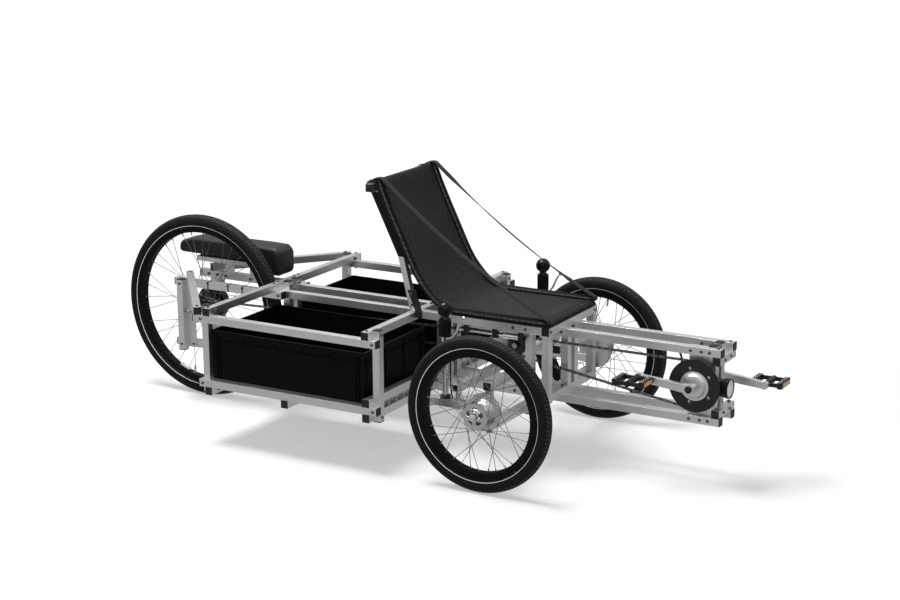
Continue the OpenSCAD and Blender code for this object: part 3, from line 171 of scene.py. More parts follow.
def lathe(profile, centre, axis, sides=48, closed=False, ends=False, flute=None, across=None):
    """A profile of (radius, height) turned about an axis through centre.

    flute is (count, depth, first row, last row): the radius drops by depth (1 - |cos|) count times round.
    across holds the surface coordinates along the profile, where its own length doesn't do.
    """
    profile = np.asarray(profile, float)
    t = np.linspace(0, 2 * pi, sides, endpoint=False)
    z = unit(np.asarray(axis, float))
    x = unit(np.cross(z, [0.31, 0.87, 0.4]))
    y = np.cross(z, x)
    r = np.repeat(profile[:, :1], sides, 1)
    if flute:
        count, depth, a, b = flute
        r[a:b] -= depth * (1 - np.abs(np.cos(count * t / 2)))
    points = (np.asarray(centre, float) + profile[:, 1][:, None, None] * z
              + r[..., None] * (np.cos(t)[:, None] * x + np.sin(t)[:, None] * y))
    u = round_length(profile) if across is None else across
    return grid(points, closed, True, u, np.linspace(0, 2 * pi * profile[:, 0].max(), sides + 1), ends)


def block(low, high, r, look=0):
    """A box whose edges are rounded: rounded rectangles stacked along X, smaller at both ends."""
    low, high = np.asarray(low, float), np.asarray(high, float)
    size = high - low
    r = min(r, size.min() / 2.2)
    inset = np.array([r, 0.3 * r, 0, 0, 0.3 * r, r])
    x = np.array([0, 0.3 * r, r, size[0] - r, size[0] - 0.3 * r, size[0]])
    rows = np.array([rounded_rect(size[1] - 2 * k, size[2] - 2 * k, max(r - k, 0.2 * r)) for k in inset])
    y, z = np.moveaxis((low[1:] + high[1:]) / 2 + rows, -1, 0)
    points = coords(low[0] + x[:, None], y, z)
    return grid(points, False, True, x, round_length(rows[2]), True).made_of(look)


def repeat(patch, turns, places):
    """Copies of one patch: each vertex v becomes turns[k] v + places[k]."""
    turns, places = np.asarray(turns, float), np.asarray(places, float)
    copies = len(places)
    verts = np.einsum("kab,nb->kna", turns, patch.verts) + places[:, None]
    loops = patch.loops[None] + (np.arange(copies) * len(patch.verts))[:, None]
    return Patch(verts, loops, np.tile(patch.totals, copies), np.tile(patch.uvs, (copies, 1)), patch.look)


def flipped(patch):
    """The patch mirrored in Y."""
    return Patch(patch.verts * [1, -1, 1], patch.loops, patch.totals, patch.uvs, patch.look)


def turned(directions):
    """Rotations that take +Z to each direction and keep +X level with the ground's Y."""
    z = unit(directions)
    x = unit(np.cross(np.broadcast_to(ACROSS, z.shape), z))
    return np.stack([x, np.cross(z, x), z], 2)


def piece(name, patches, looks, body, smooth=35, node=None):
    """One mesh object at the origin from patches, shaded smooth below an angle, riding on a body.

    looks are materials or their names; node is the solid that the piece stands for.
    """
    start = np.cumsum([0] + [len(p.verts) for p in patches])
    verts = at(np.concatenate([p.verts for p in patches]))
    loops = np.concatenate([p.loops + s for p, s in zip(patches, start)])
    totals = np.concatenate([p.totals for p in patches])
    uvs = np.concatenate([p.uvs for p in patches]) * MM
    mesh = bpy.data.meshes.new(name)
    mesh.vertices.add(len(verts))
    mesh.vertices.foreach_set("co", verts.ravel().astype(np.float32))
    mesh.loops.add(len(loops))
    mesh.loops.foreach_set("vertex_index", loops.astype(np.int32))
    mesh.polygons.add(len(totals))
    mesh.polygons.foreach_set("loop_start", np.concatenate([[0], np.cumsum(totals)[:-1]]).astype(np.int32))
    mesh.polygons.foreach_set("material_index", np.concatenate(
        [np.full(len(p.totals), p.look) for p in patches]).astype(np.int32))
    mesh.update(calc_edges=True)
    mesh.uv_layers.new(name="UVMap").data.foreach_set("uv", uvs.ravel().astype(np.float32))
    mesh.validate()
    if not mesh.polygons:
        raise RuntimeError("%s has no faces" % name)
    work = bmesh.new()
    work.from_mesh(mesh)
    bmesh.ops.recalc_face_normals(work, faces=work.faces)
    work.to_mesh(mesh)
    work.free()
    for look in looks:
        mesh.materials.append(look_once(look) if isinstance(look, str) else look)
    mesh.shade_smooth()
    mesh.set_sharp_from_angle(angle=radians(smooth))
    obj = bpy.data.objects.new(name, mesh)
    bpy.context.scene.collection.objects.link(obj)
    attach(obj, body)
    if node:
        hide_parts(node)
    return obj


def both_ways(operation):
    """An operator and its reflected form, as one Math node each."""
    return (lambda self, other: self.math(operation, self, other),
            lambda self, other: self.math(operation, other, self))


class Value:
    """A shader socket; arithmetic on it adds Math nodes."""

    def __init__(self, nodes, socket):
        self.nodes, self.socket = nodes, socket

    def math(self, operation, *args):
        return self.nodes.node("ShaderNodeMath", {"operation": operation}, dict(enumerate(args)))

    __add__, __radd__ = both_ways("ADD")
    __sub__, __rsub__ = both_ways("SUBTRACT")
    __mul__, __rmul__ = both_ways("MULTIPLY")
    __truediv__, __rtruediv__ = both_ways("DIVIDE")
    __pow__, __rpow__ = both_ways("POWER")
    __gt__, __lt__ = both_ways("GREATER_THAN")

    def __abs__(self):
        return self.math("ABSOLUTE", self)

    def sin(self):
        return self.math("SINE", self)

    def wave(self):
        """A sine between 0 and 1."""
        return self.sin() * 0.5 + 0.5

    def step(self, a, b):
        """0 below a, 1 above b, and smooth between them."""
        return self.nodes.node("ShaderNodeMapRange", {"interpolation_type": "SMOOTHSTEP"},
                               {"Value": self, "From Min": a, "From Max": b})


class Nodes:
    """The node tree of a material or of the world."""

    def __init__(self, owner):
        owner.use_nodes = True
        self.tree = owner.node_tree
        self.tree.nodes.clear()

    def put(self, socket, value):
        """Links a socket to a value, or sets it."""
        if isinstance(value, Value):
            self.tree.links.new(value.socket, socket)
        elif socket.type == "RGBA" and len(value) == 3:
            socket.default_value = (*value, 1)
        else:
            socket.default_value = value

    def node(self, kind, settings=None, inputs=None, out=0):
        """Any node: its settings come first, then the values or links of its sockets; gives one output."""
        n = self.tree.nodes.new(kind)
        for key, value in (settings or {}).items():
            if key == "stops":
                for element, stop in zip(n.color_ramp.elements, value):
                    element.position, element.color = stop
            else:
                setattr(n, key, value)
        for key, value in (inputs or {}).items():
            self.put(n.inputs[key], value)
        return Value(self, n.outputs[out] if n.outputs else None)

    def split(self, vector):
        """The three coordinates of a vector."""
        n = self.node("ShaderNodeSeparateXYZ", None, {0: vector}).socket.node
        return [Value(self, o) for o in n.outputs]

    def blend(self, share, a, b):
        """Shader a where share is 0, b where it is 1."""
        return self.node("ShaderNodeMixShader", None, {0: share, 1: a, 2: b})


class Look(Nodes):
    """One material, built node by node around a Principled shader."""
    SOCKETS = {"base": "Base Color", "rough": "Roughness", "metal": "Metallic", "normal": "Normal",
               "coat": "Coat Weight", "coat_rough": "Coat Roughness", "sheen": "Sheen Weight",
               "specular": "Specular IOR Level"}

    def __init__(self, name):
        self.mat = bpy.data.materials.new(name)
        super().__init__(self.mat)

    def place(self, centre=(0, 0, 0), scale=(1, 1, 1)):
        """Object coordinates about a centre, in metres, stretched by scale."""
        v = self.node("ShaderNodeTexCoord", out="Object")
        shift = tuple(-c * s for c, s in zip(centre, scale))
        return self.node("ShaderNodeMapping", None, {"Vector": v, "Location": shift, "Scale": scale})

    def uv(self):
        """The surface coordinates u and v, in metres."""
        return self.split(self.node("ShaderNodeUVMap", {"uv_map": "UVMap"}))[:2]

    def noise(self, scale, detail=2.0, rough=0.5):
        """Noise on Object coordinates; three numbers as scale stretch it along each axis."""
        stretch, scale = (scale, 1.0) if isinstance(scale, tuple) else ((1, 1, 1), scale)
        return self.node("ShaderNodeTexNoise", None, {"Vector": self.place(scale=stretch), "Scale": scale,
                                                      "Detail": detail, "Roughness": rough})

    def mix(self, factor, a, b):
        """Colour a where factor is 0, b where it is 1."""
        return self.node("ShaderNodeMix", {"data_type": "RGBA"}, {0: factor, 6: a, 7: b}, out=2)

    def bump(self, height, depth, strength=1.0, **normal):
        return self.node("ShaderNodeBump", None,
                         {"Height": height, "Distance": depth, "Strength": strength, **normal})

    def finish(self, cover=None, **sockets):
        """Ends the material; cover, where given, turns its shader into another one."""
        inputs = {self.SOCKETS[key]: value for key, value in sockets.items()}
        shader = self.node("ShaderNodeBsdfPrincipled", None, inputs)
        self.node("ShaderNodeOutputMaterial", None, {0: cover(shader) if cover else shader})
        return self.mat


LOOKS = {}


def look_once(key, make=None):
    """The material of that name, made the first time it is asked for."""
    if key not in LOOKS:
        LOOKS[key] = (make or PLAIN[key])(Look(key.replace(" ", "_")))
    return LOOKS[key]


def dress(node, look):
    """Gives a CAD node its material, or the material of that name, in every slot."""
    mat = look_once(look) if isinstance(look, str) else look
    slots = NODES[node].material_slots
    if not slots:
        NODES[node].data.materials.append(mat)
    for s in slots:
        s.material = mat


def chosen(group):
    """The user's sizes and colours of one group."""
    return getattr(bpy.context.scene, "trike_" + group)


def shades(colour, *factors):
    """One colour, brightened or darkened by each factor."""
    return [[min(c * f, 1) for c in colour] for f in factors]


def tube_aluminium(name, axis, black=None, steel=None):
    """Satin tube: fine drawing lines along one axis, faint smudges, rounded edges.

    black and steel are masks of (x, y, z), for what is black plastic or steel on the same node.
    """
    def make(look):
        p = chosen("metals")
        fine = tuple(4.0 if k == axis else p.grain_density for k in range(3))
        lines = look.noise(fine, 3.0, 0.6)
        smudge = look.noise(9.0, 3.0, 0.55)
        base = look.mix(lines * 0.35 + smudge * 0.65, *shades(p.aluminium, 0.86, 1.1))
        rough = (lines - 0.5) * 0.12 + smudge * 0.1 + p.aluminium_roughness
        edge = look.node("ShaderNodeBevel", {"samples": 4}, {"Radius": p.edge_radius})
        normal = look.bump(lines, 0.00004, 0.5, Normal=edge)
        if not black:
            scuff = look.noise((40, 40, 40), 4.0, 0.7).step(0.62, 0.8)
            return look.finish(base=base, metal=1.0, rough=rough + scuff * 0.12, normal=normal)
        x, y, z = look.split(look.place())
        dark = black(x, y, z)
        if steel:
            base = look.mix(steel(x, y, z), base, tuple(p.steel))
        base = look.mix(dark, base, (0.010, 0.010, 0.011))
        return look.finish(base=base, metal=1 - dark, rough=rough * (1 - dark) + dark * 0.45, specular=0.3,
                           normal=normal)
    return look_once(name, make)


def mottled(tone, colours, rough, fine=None, relief=None, **sockets):
    """A surface whose colour and roughness follow one noise, and whose relief follows a finer one.

    tone and fine are a noise's (scale, detail, roughness). colours are two, or a function that gives them.
    rough is (spread, least), relief is (depth, strength).
    """
    def make(look):
        cloud = look.noise(*tone)
        grain = look.noise(*fine) if fine else cloud
        base = look.mix(cloud, *(colours() if callable(colours) else colours))
        normal = {"normal": look.bump(grain, *relief)} if relief else {}
        return look.finish(base=base, rough=cloud * rough[0] + rough[1], **normal, **sockets)
    return make


def plated_steel(dull):
    """Plated steel, mottled; dull scales its brightness."""
    def make(look):
        mottle, cloud = look.noise(420.0, 3.0, 0.6), look.noise(30.0)
        base = look.mix(cloud, *shades(chosen("metals").steel, 0.75 * dull, 1.15 * dull))
        return look.finish(base=base, metal=1.0, rough=mottle * 0.2 + 0.24,
                           normal=look.bump(mottle, 0.00005, 0.4))
    return make


def hub_alloy(centre):
    """Polished hub shell: five pockets between two radii round the axle, and a ribbed rim outside them. The
    pockets are sunk only by bump and painted near-black as shade, and the disc round the axle is painted as
    dark.
    """
    def make(look):
        x, y, z = look.split(look.place(centre))
        r = (x ** 2.0 + z ** 2.0) ** 0.5
        turn = look.node("ShaderNodeMath", {"operation": "ARCTAN2"}, {0: z, 1: x})
        pocket = (turn * 5.0).sin().step(-0.1, 0.25) * r.step(0.0155, 0.0175) * (1 - r.step(0.028, 0.030))
        ribs = (turn * 36.0).wave() * r.step(0.03, 0.032)
        haze = look.noise(70.0, 3.0, 0.6)
        # Painted shade: the pockets, and the disc round the axle, are darkened in the colour
        dark = pocket * 0.85 + (1 - pocket) * (1 - r.step(0.0105, 0.0115)) * 0.8
        base = look.mix(haze, *shades(chosen("metals").polished, 0.75, 1))
        base = look.mix(dark, base, (0.05, 0.05, 0.052))
        return look.finish(base=base, metal=1.0, rough=haze * 0.14 + 0.16,
                           normal=look.bump(1 - pocket + ribs * 0.2, 0.002, 0.9))
    return look_once("hub alloy %d" % round(centre[1] * 1e3), make)


def tyre_rubber(stripe_v, crown_v):
    """Rubber with V-shaped tread grooves on the crown, fine rings on the walls and a pale stripe."""
    def make(look):
        p = chosen("wheels")
        u, v = look.uv()
        away = abs(v)
        groove = ((u / p.tread_pitch + away * 42.0) * (2 * pi)).sin().step(0.35, 0.75)
        middle = 1 - (away - 0.0016).step(0.0, 0.0012)
        crown = 1 - away.step(crown_v * 0.85, crown_v)
        side = away.step(crown_v, crown_v * 1.1)
        rings = (away * (2 * pi / 0.0024)).wave()
        height = 1 - crown * (groove * 0.9 + middle * 0.6) - side * rings * 0.12
        dust, fine = look.noise(26.0, 4.0, 0.65), look.noise(900.0)
        stripe = 1 - abs(away - stripe_v).step(p.stripe_width * 0.4, p.stripe_width * 0.6)
        dark, pale, worn_pale = shades(p.rubber, 0.6, 1.5, 16)
        base = look.mix(dust * 0.6 + fine * 0.4, dark, pale)
        worn = crown * (1 - groove) * look.noise(320.0, 3.0, 0.7).step(0.45, 0.7)
        base = look.mix(stripe, look.mix(worn, base, worn_pale), tuple(p.stripe))
        return look.finish(base=base, rough=dust * 0.2 + 0.55 - stripe * 0.2, specular=0.12,
                           normal=look.bump(height + fine * 0.06, 0.0012, 0.8))
    return look_once("tyre rubber %d" % round(stripe_v * 1e4), make)


def sling_mesh(look):
    """Open-weave seat net: rows of raised stitches whose tops carry a painted highlight, over holes painted
    near-black as shade, from the surface coordinates.
    """
    p = chosen("seat")
    u, v = look.uv()
    k = 2 * pi / p.mesh_pitch
    weave = ((u + v) * k).sin() * ((u - v) * k).sin() * 0.5 + 0.5
    twist = ((u + v * 0.4) * (k * 2.5)).wave()
    dark, pale, stitch_highlight = shades(p.net, 0.6, 1.5, 95)
    base = look.mix(look.noise(12.0, 3.0, 0.6), dark, pale)
    # Painted shade: the holes between the threads are darkened to near-black
    base = look.mix((1 - weave).step(0.6, 0.85), base, (0.0015, 0.0015, 0.0015))
    # Painted highlight: the tops of the stitches are lightened far past the net's own colour
    base = look.mix(weave.step(0.78, 0.97) * (twist * 0.5 + 0.5), base, stitch_highlight)
    return look.finish(base=base, rough=0.66 - weave * 0.16, specular=0.12, sheen=0.02,
                       normal=look.bump(weave + twist * 0.25, 0.0022, 1.0))


def sleeve_cloth(look):
    """Coated cloth of the sleeves: smooth, with a close plain weave and soft creases whose hollows are painted
    darker as shade.
    """
    u, v = look.uv()
    k = 2 * pi / 0.0011
    weave = (u * k).sin() * (v * k).sin() * 0.5 + 0.5
    crease = look.noise((30, 90, 30), 3.0, 0.6)
    # Painted shade: the colour follows the creases, darker in their hollows
    base = look.mix(crease, *shades(chosen("seat").net, 0.7, 1.8))
    return look.finish(base=base, rough=crease * 0.2 + 0.45, specular=0.12, sheen=0.01,
                       normal=look.bump(weave * 0.1 + crease, 0.0018, 0.5))


def strap_webbing(look):
    """Seat-belt webbing: ribs across the strap and finer threads along it."""
    u, v = look.uv()
    rib, cross = (u * (2 * pi / 0.0022)).wave(), (v * (2 * pi / 0.0018)).wave()
    base = look.mix(rib * 0.5 + look.noise(60.0, 3.0) * 0.5, *shades(chosen("seat").strap, 0.7, 1.35))
    return look.finish(base=base, rough=0.7, specular=0.12, sheen=0.03,
                       normal=look.bump(rib * 0.7 + cross * 0.3, 0.0005, 0.8))


def chain_steel(look):
    """Oiled chain: dark steel, brown-black film in patches."""
    film = look.noise(130.0, 4.0, 0.65)
    base = look.mix(film.step(0.35, 0.7), (0.02, 0.019, 0.018), (0.12, 0.115, 0.11))
    return look.finish(base=base, metal=0.9, rough=film * 0.25 + 0.3, normal=look.bump(film, 0.0001, 0.4))


def box_plastic(look):
    """Moulded crate plastic: black, with a fine grain and pale upright scuffs."""
    patch, scuff = look.noise(7.0, 3.0), look.noise((30, 30, 220), 4.0, 0.7).step(0.66, 0.8)
    base = look.mix(patch, (0.0016, 0.0016, 0.0018), (0.003, 0.003, 0.0033))
    base = look.mix(scuff * 0.3, base, (0.012, 0.012, 0.012))
    return look.finish(base=base, rough=patch * 0.14 + 0.42, specular=0.06,
                       normal=look.bump(look.noise(1500.0), 0.0001, 0.45))


def deck_sheet(look):
    """Mill-finish deck: rolling lines along X, and wear in patches."""
    lines, wear = look.noise((3, 900, 900), 3.0, 0.6), look.noise(11.0, 4.0, 0.6)
    base = look.mix(lines * 0.5 + wear * 0.5, (0.42, 0.43, 0.44), (0.68, 0.69, 0.7))
    return look.finish(base=base, metal=1.0, rough=wear * 0.2 + 0.36, normal=look.bump(lines, 0.00006, 0.5))


def prism_plastic(low, high, rough):
    """Prismatic reflector plastic between two colours."""
    def make(look):
        facets = look.node("ShaderNodeTexVoronoi", {"distance": "MANHATTAN"},
                           {"Vector": look.place(), "Scale": 380.0})
        return look.finish(base=look.mix(facets, low, high), rough=rough, coat=0.6, coat_rough=0.05,
                           normal=look.bump(facets, 0.0006, 0.6))
    return make


def lamp_lens(look):
    """Headlight lens: an opaque dome painted pale, lighter along the flutes, as a painted reflection of a
    silvered bowl behind fluted glass.
    """
    flutes = (look.split(look.place())[1] * (2 * pi / 0.006)).wave()
    # Painted reflection: the pale colour, lighter on each flute, stands for the silvered bowl seen through the
    # glass
    base = look.mix(flutes * 0.5 + look.noise(120.0) * 0.5, (0.55, 0.56, 0.58), (0.95, 0.96, 0.97))
    return look.finish(base=base, rough=0.08, metal=0.35, coat=1.0, coat_rough=0.03,
                       normal=look.bump(flutes, 0.0008, 0.6))


PLAIN = {
    "zinc steel": plated_steel(1.0), "dark steel": plated_steel(0.3), "spoke steel": plated_steel(0.42),
    # link steel: the chain's outer plates, lighter than the inner ones as a painted highlight
    "link steel": plated_steel(0.55), "sling mesh": sling_mesh, "sleeve cloth": sleeve_cloth,
    "strap webbing": strap_webbing, "chain steel": chain_steel, "box plastic": box_plastic,
    "deck sheet": deck_sheet, "lamp lens": lamp_lens,
    "amber reflector": prism_plastic((0.45, 0.16, 0.02), (0.62, 0.28, 0.06), 0.12),
    "clear reflector": prism_plastic((0.55, 0.56, 0.57), (0.85, 0.86, 0.87), 0.15),
    # Cast and polished: mirror-like, with faint turning marks and haze
    "polished alloy": mottled((60.0, 3.0, 0.6), lambda: shades(chosen("metals").polished, 0.9, 1.08),
                              (0.16, 0.14), ((300, 2400, 300),), (0.00003, 0.35), metal=1.0),
    # Injection-moulded caps and housings: spark-eroded grain over near-black
    "moulded black": mottled((22.0,), ((0.007, 0.007, 0.0075), (0.014, 0.014, 0.015)), (0.14, 0.4),
                             (2600.0,), (0.00006, 0.4), specular=0.3),
    # Powder coat: slight orange peel under a thin gloss
    "satin black paint": mottled((14.0, 4.0, 0.6), ((0.006, 0.006, 0.0065), (0.014, 0.014, 0.015)),
                                 (0.15, 0.28), (700.0,), (0.00006, 0.35), specular=0.25, coat=0.12,
                                 coat_rough=0.15),
    # Rims: matt, with faint turning marks and brake dust
    "anodised black": mottled((40.0, 3.0, 0.6), ((0.0018, 0.0018, 0.002), (0.005, 0.005, 0.0055)),
                              (0.15, 0.4), (900.0,), (0.00004, 0.3), specular=0.08),
    # Polished resin of the handle balls and grips
    "gloss black": mottled((160.0, 3.0), ((0.003, 0.003, 0.0034),) * 2, (0.1, 0.14), specular=0.16,
                           coat=0.06, coat_rough=0.06),
    # Cable covers: matt, slightly dusty
    "soft rubber": mottled((90.0, 3.0, 0.6), ((0.005, 0.005, 0.005), (0.012, 0.012, 0.012)), (0.2, 0.5),
                           relief=(0.0001, 0.3), specular=0.2),
}


def number(name, value, description, **more):
    return bpy.props.FloatProperty(name=name, description=description, default=value, **more)


def length(name, value, description):
    return number(name, value, description, unit="LENGTH", min=0)


def colour(name, value, description):
    return bpy.props.FloatVectorProperty(name=name, description=description, default=value, size=3,
                                         subtype="COLOR", min=0, max=1)


class TrikeMetals(bpy.types.PropertyGroup):
    """Finish of the tubes, fasteners and polished parts"""
    aluminium: colour("Tube", (0.74, 0.745, 0.75), "Colour of the satin aluminium tube")
    steel: colour("Fasteners", (0.5, 0.5, 0.51), "Colour of bolts and nuts")
    polished: colour("Polished", (0.66, 0.67, 0.68), "Colour of polished alloy")
    aluminium_roughness: number("Tube roughness", 0.33, "Roughness of the tube's satin finish", min=0, max=1)
    grain_density: number("Grain density", 900.0, "Drawing lines in a metre across the tube", min=50)
    edge_radius: length("Edge radius", 0.0012, "Radius at which the tubes' edges catch the light")


class TrikeWheels(bpy.types.PropertyGroup):
    """Finish of the tyres"""
    rubber: colour("Rubber", (0.0055, 0.0055, 0.0058), "Colour of the tyres")
    stripe: colour("Stripe", (0.62, 0.63, 0.64), "Colour of the thin stripe on the tyre's wall")
    stripe_width: length("Stripe width", 0.0022, "Width of the stripe")
    tread_pitch: length("Tread pitch", 0.014, "Distance between grooves round the tyre")


class TrikeSeat(bpy.types.PropertyGroup):
    """Cloth of the sling and its straps"""
    net: colour("Net", (0.0026, 0.0026, 0.0028), "Colour of the sling's net")
    strap: colour("Strap", (0.018, 0.018, 0.019), "Colour of the webbing straps")
    mesh_pitch: length("Mesh pitch", 0.0105, "Distance between the net's stitches")
    sag: length("Sag", 0.010, "How far the net sags between its sleeves")


class TrikeStage(bpy.types.PropertyGroup):
    """Camera, floor and lights"""
    azimuth: number("Azimuth", radians(29.85), "Camera direction round the object", subtype="ANGLE")
    elevation: number("Elevation", radians(14.43), "Camera height angle", subtype="ANGLE")
    roll: number("Roll", radians(-0.27), "Camera roll", subtype="ANGLE")
    lens: number("Lens", 77.006, "Focal length on a 36 mm sensor", min=10)
    floor: colour("Floor", (0.93, 0.93, 0.935), "Colour of the floor")
    sky: number("Sky", 0.45, "Strength of the even light", min=0)
    key: number("Key light", 260.0, "Power of the large lamp", min=0, unit="POWER")


GROUPS = {"trike_metals": TrikeMetals, "trike_wheels": TrikeWheels, "trike_seat": TrikeSeat,
          "trike_stage": TrikeStage}


class TRIKE_OT_frame(bpy.types.Operator):
    """Finish the aluminium tubes, each with its drawing lines along the tube"""
    bl_idname = "trike.frame"
    bl_label = "Frame tubes"
    AXES = (("side_rails", "center_beams", "rear_arms", "seat_rails", "boom_tubes", "rear_stays"),
            ("cargo_cross_tubes", "boom_cross_tubes", "axle_beams", "tie_rod"),
            ("cargo_posts", "dropouts", "seat_posts", "seat_back_frame", "boom_posts", "motor_brackets"))

    def execute(self, context):
        for axis, names in enumerate(self.AXES):
            for name in names:
                dress(name, tube_aluminium("drawn aluminium " + "xyz"[axis], axis))
        return {"FINISHED"}


class TRIKE_OT_fittings(bpy.types.Operator):
    """Finish bolts, pins, caps, plates and cable clips, and tie the cable to the rear arm"""
    bl_idname = "trike.fittings"
    bl_label = "Fittings"
    CLIPS = ((-200, -184), (-95, -79), (-2, 14))
    TIES, ARM = (-1277, -1190, -1129), (-74.5, 430.5)

    def execute(self, context):
        for node, look in (("frame_bolts", "dark steel"), ("pivot_pins", "zinc steel"),
                           ("end_caps", "moulded black"), ("seat_plates", "satin black paint")):
            dress(node, look)

        def clips(x, y, z):
            first, *others = [(x > along(a - 0.2)) * (x < along(b + 0.2)) for a, b in self.CLIPS]
            return sum(others, first)
        dress("cable_guides", tube_aluminium("cable guides", 0, clips))
        # Bands that tie the cable to the rear arm, each with its lock
        bands = []
        for x in self.TIES:
            outline = rounded_rect(27.4, 27.4, 2.5) * np.array([0.96, 1.0, 1.0, 0.96])[:, None, None]
            bands.append(sweep(coords(x + np.array([-2.2, -1.8, 1.8, 2.2]), *self.ARM), outline, UP))
            bands.append(block([x - 3.2, -91.6, 436], [x + 3.2, -87.8, 442], 1.2))
        piece("cable_ties", bands, ["moulded black"], "frame")
        return {"FINISHED"}


class TRIKE_OT_wheels(bpy.types.Operator):
    """Tyres with stripe and tread, rims, spokes with nipples, valves and hubs"""
    bl_idname = "trike.wheels"
    bl_label = "Wheels"
    # prefix, centre, tyre's radius and width, rim's radius and depth, stripe's radius,
    # (radius, offset) of both spoke flanges, side, and the valve's angle
    WHEELS = (
        ("rear", (-1358, 0, 330), 330, 50, 284, 16, 292, ((42, -28), (42, 28)), 1, -103),
        ("near", (0, -428.5, 250), 250, 47, 207, 23, 213, ((58, -27), (42, 24)), -1, 100),
        ("far", (0, 428.5, 250), 250, 47, 207, 23, 213, ((58, -27), (42, 24)), 1, 80))
    SPOKES, SPOKE_R, SPOKE_LEAN = 36, 1.0, radians(62)
    WALL, CROWN, SIDES_ROUND = 3, 0.021, 180
    DRUM = (0.0365, 0.0868)

    def tyre(self, prefix, centre, r, w, rim_r, stripe_r):
        """Closed profile: the arc mid + half (cos t, sin t) from bead to bead, and back along a smaller one."""
        mid, half = r - w / 2, w / 2
        bead = np.arccos((rim_r + 0.4 - mid) / half)
        t, s = np.linspace(-bead, bead, 41), np.linspace(bead * 0.985, -bead * 0.985, 15)
        profile = np.concatenate([coords(mid + k * np.cos(a), k * np.sin(a))
                                  for k, a in ((half, t), (half - self.WALL, s))])
        # On the outside the surface coordinate is the distance from the crown's middle
        patch = lathe(profile, centre, ACROSS, self.SIDES_ROUND, closed=True,
                      across=np.concatenate([t * half, 200 + np.arange(16.0)]))
        patch.uvs = patch.uvs[:, ::-1]
        stripe_v = float(np.arccos((stripe_r - mid) / half) * half * MM)
        piece(prefix + "_tyre_tread", [patch], [tyre_rubber(stripe_v, self.CROWN)], prefix + "_wheel",
              node=prefix + "_tyre")

    def nipples(self, prefix, centre, rim, flanges, side):
        """Spoke k ends at angle 2 pi k / n on the rim; the nipple stands there, along the spoke."""
        k = np.arange(self.SPOKES)
        f = np.array(flanges)[k % 2]
        way = np.where(k // 2 % 2 == 0, 1, -1)
        a = k * 2 * pi / self.SPOKES
        b = a + way * self.SPOKE_LEAN
        near = f[:, 0] + self.SPOKE_R + 0.4
        y = way * (self.SPOKE_R + 0.5)
        outer = rim - self.SPOKE_R
        hub = coords(near * np.cos(b), side * (f[:, 1] + y), near * np.sin(b))
        end = coords(outer * np.cos(a), side * (f[:, 1] * 0.12 + y), outer * np.sin(a))
        small = lathe([(1.2, 0), (2.0, 1), (2.0, 8), (2.6, 9), (2.6, 10.4)], (0, 0, -9.6), UP, 8, ends=True)
        piece(prefix + "_nipples", [repeat(small, turned(end - hub), end + centre)], ["spoke steel"],
              prefix + "_wheel")

    def valve(self, prefix, centre, rim, angle):
        """A stem from the rim to the hub, with its cap and nut; the rear wheel has a reflector beside it."""
        way = np.array([cos(angle), 0, sin(angle)])
        parts = [lathe([(4.2, -0.2), (4.2, 2.5), (2.6, 3), (2.6, 19), (3.2, 19.5), (3.2, 29), (2.0, 31)],
                       centre + way * rim, -way, 12, ends=True)]
        if prefix == "rear":
            turn = angle - radians(9)
            out = np.array([cos(turn), 0, sin(turn)])
            axes = np.stack([(-sin(turn), 0, cos(turn)), ACROSS, out], 1)
            parts.append(repeat(block([-22, -5, -6], [22, 5, 6], 2.2, 1), [axes], [centre + out * (rim - 8)]))
        piece(prefix + "_valve", parts, ["zinc steel", "clear reflector"], prefix + "_wheel")

    def execute(self, context):
        for prefix, centre, r, w, rim_r, depth, stripe_r, flanges, side, angle in self.WHEELS:
            self.tyre(prefix, centre, r, w, rim_r, stripe_r)
            self.nipples(prefix, centre, rim_r - depth, flanges, side)
            self.valve(prefix, np.array(centre), rim_r - depth, radians(angle))
            dress(prefix + "_rim", "anodised black")
            dress(prefix + "_spokes", "spoke steel")
            middle = tuple(map(float, at(centre)))
            dress(prefix + "_hub", "satin black paint" if prefix == "rear" else hub_alloy(middle))
        low, high = self.DRUM
        dress("rear_axle", tube_aluminium("rear axle", 1, lambda x, y, z: (y > low) * (y < high),
                                          lambda x, y, z: abs(y) > 0.0))
        dress("rear_sprocket", "chain steel")
        return {"FINISHED"}


SLING_LINE = rounded_path([
    (-556, 862), (-553.5, 878.5), (-541, 883), (-524, 887), (-508, 889), (-485, 835), (-459, 778),
    (-431, 722), (-405, 668), (-381, 620), (-357, 580), (-330, 546), (-302, 519), (-272, 500), (-240, 491),
    (-200, 489.3), (-140, 489.3), (-80, 489.3), (-20, 489.3), (40, 489.3), (98, 489.3)], 8)
SLEEVE_Y, SLEEVE_R = 170, 14


def spread(line, y, lift):
    """A line of (X, Z) spread over y, each point lifted along the line's normal."""
    run = unit(np.gradient(line, axis=0))
    return coords(line[:, :1] - run[:, 1:] * lift, y, line[:, 1:] + run[:, :1] * lift)


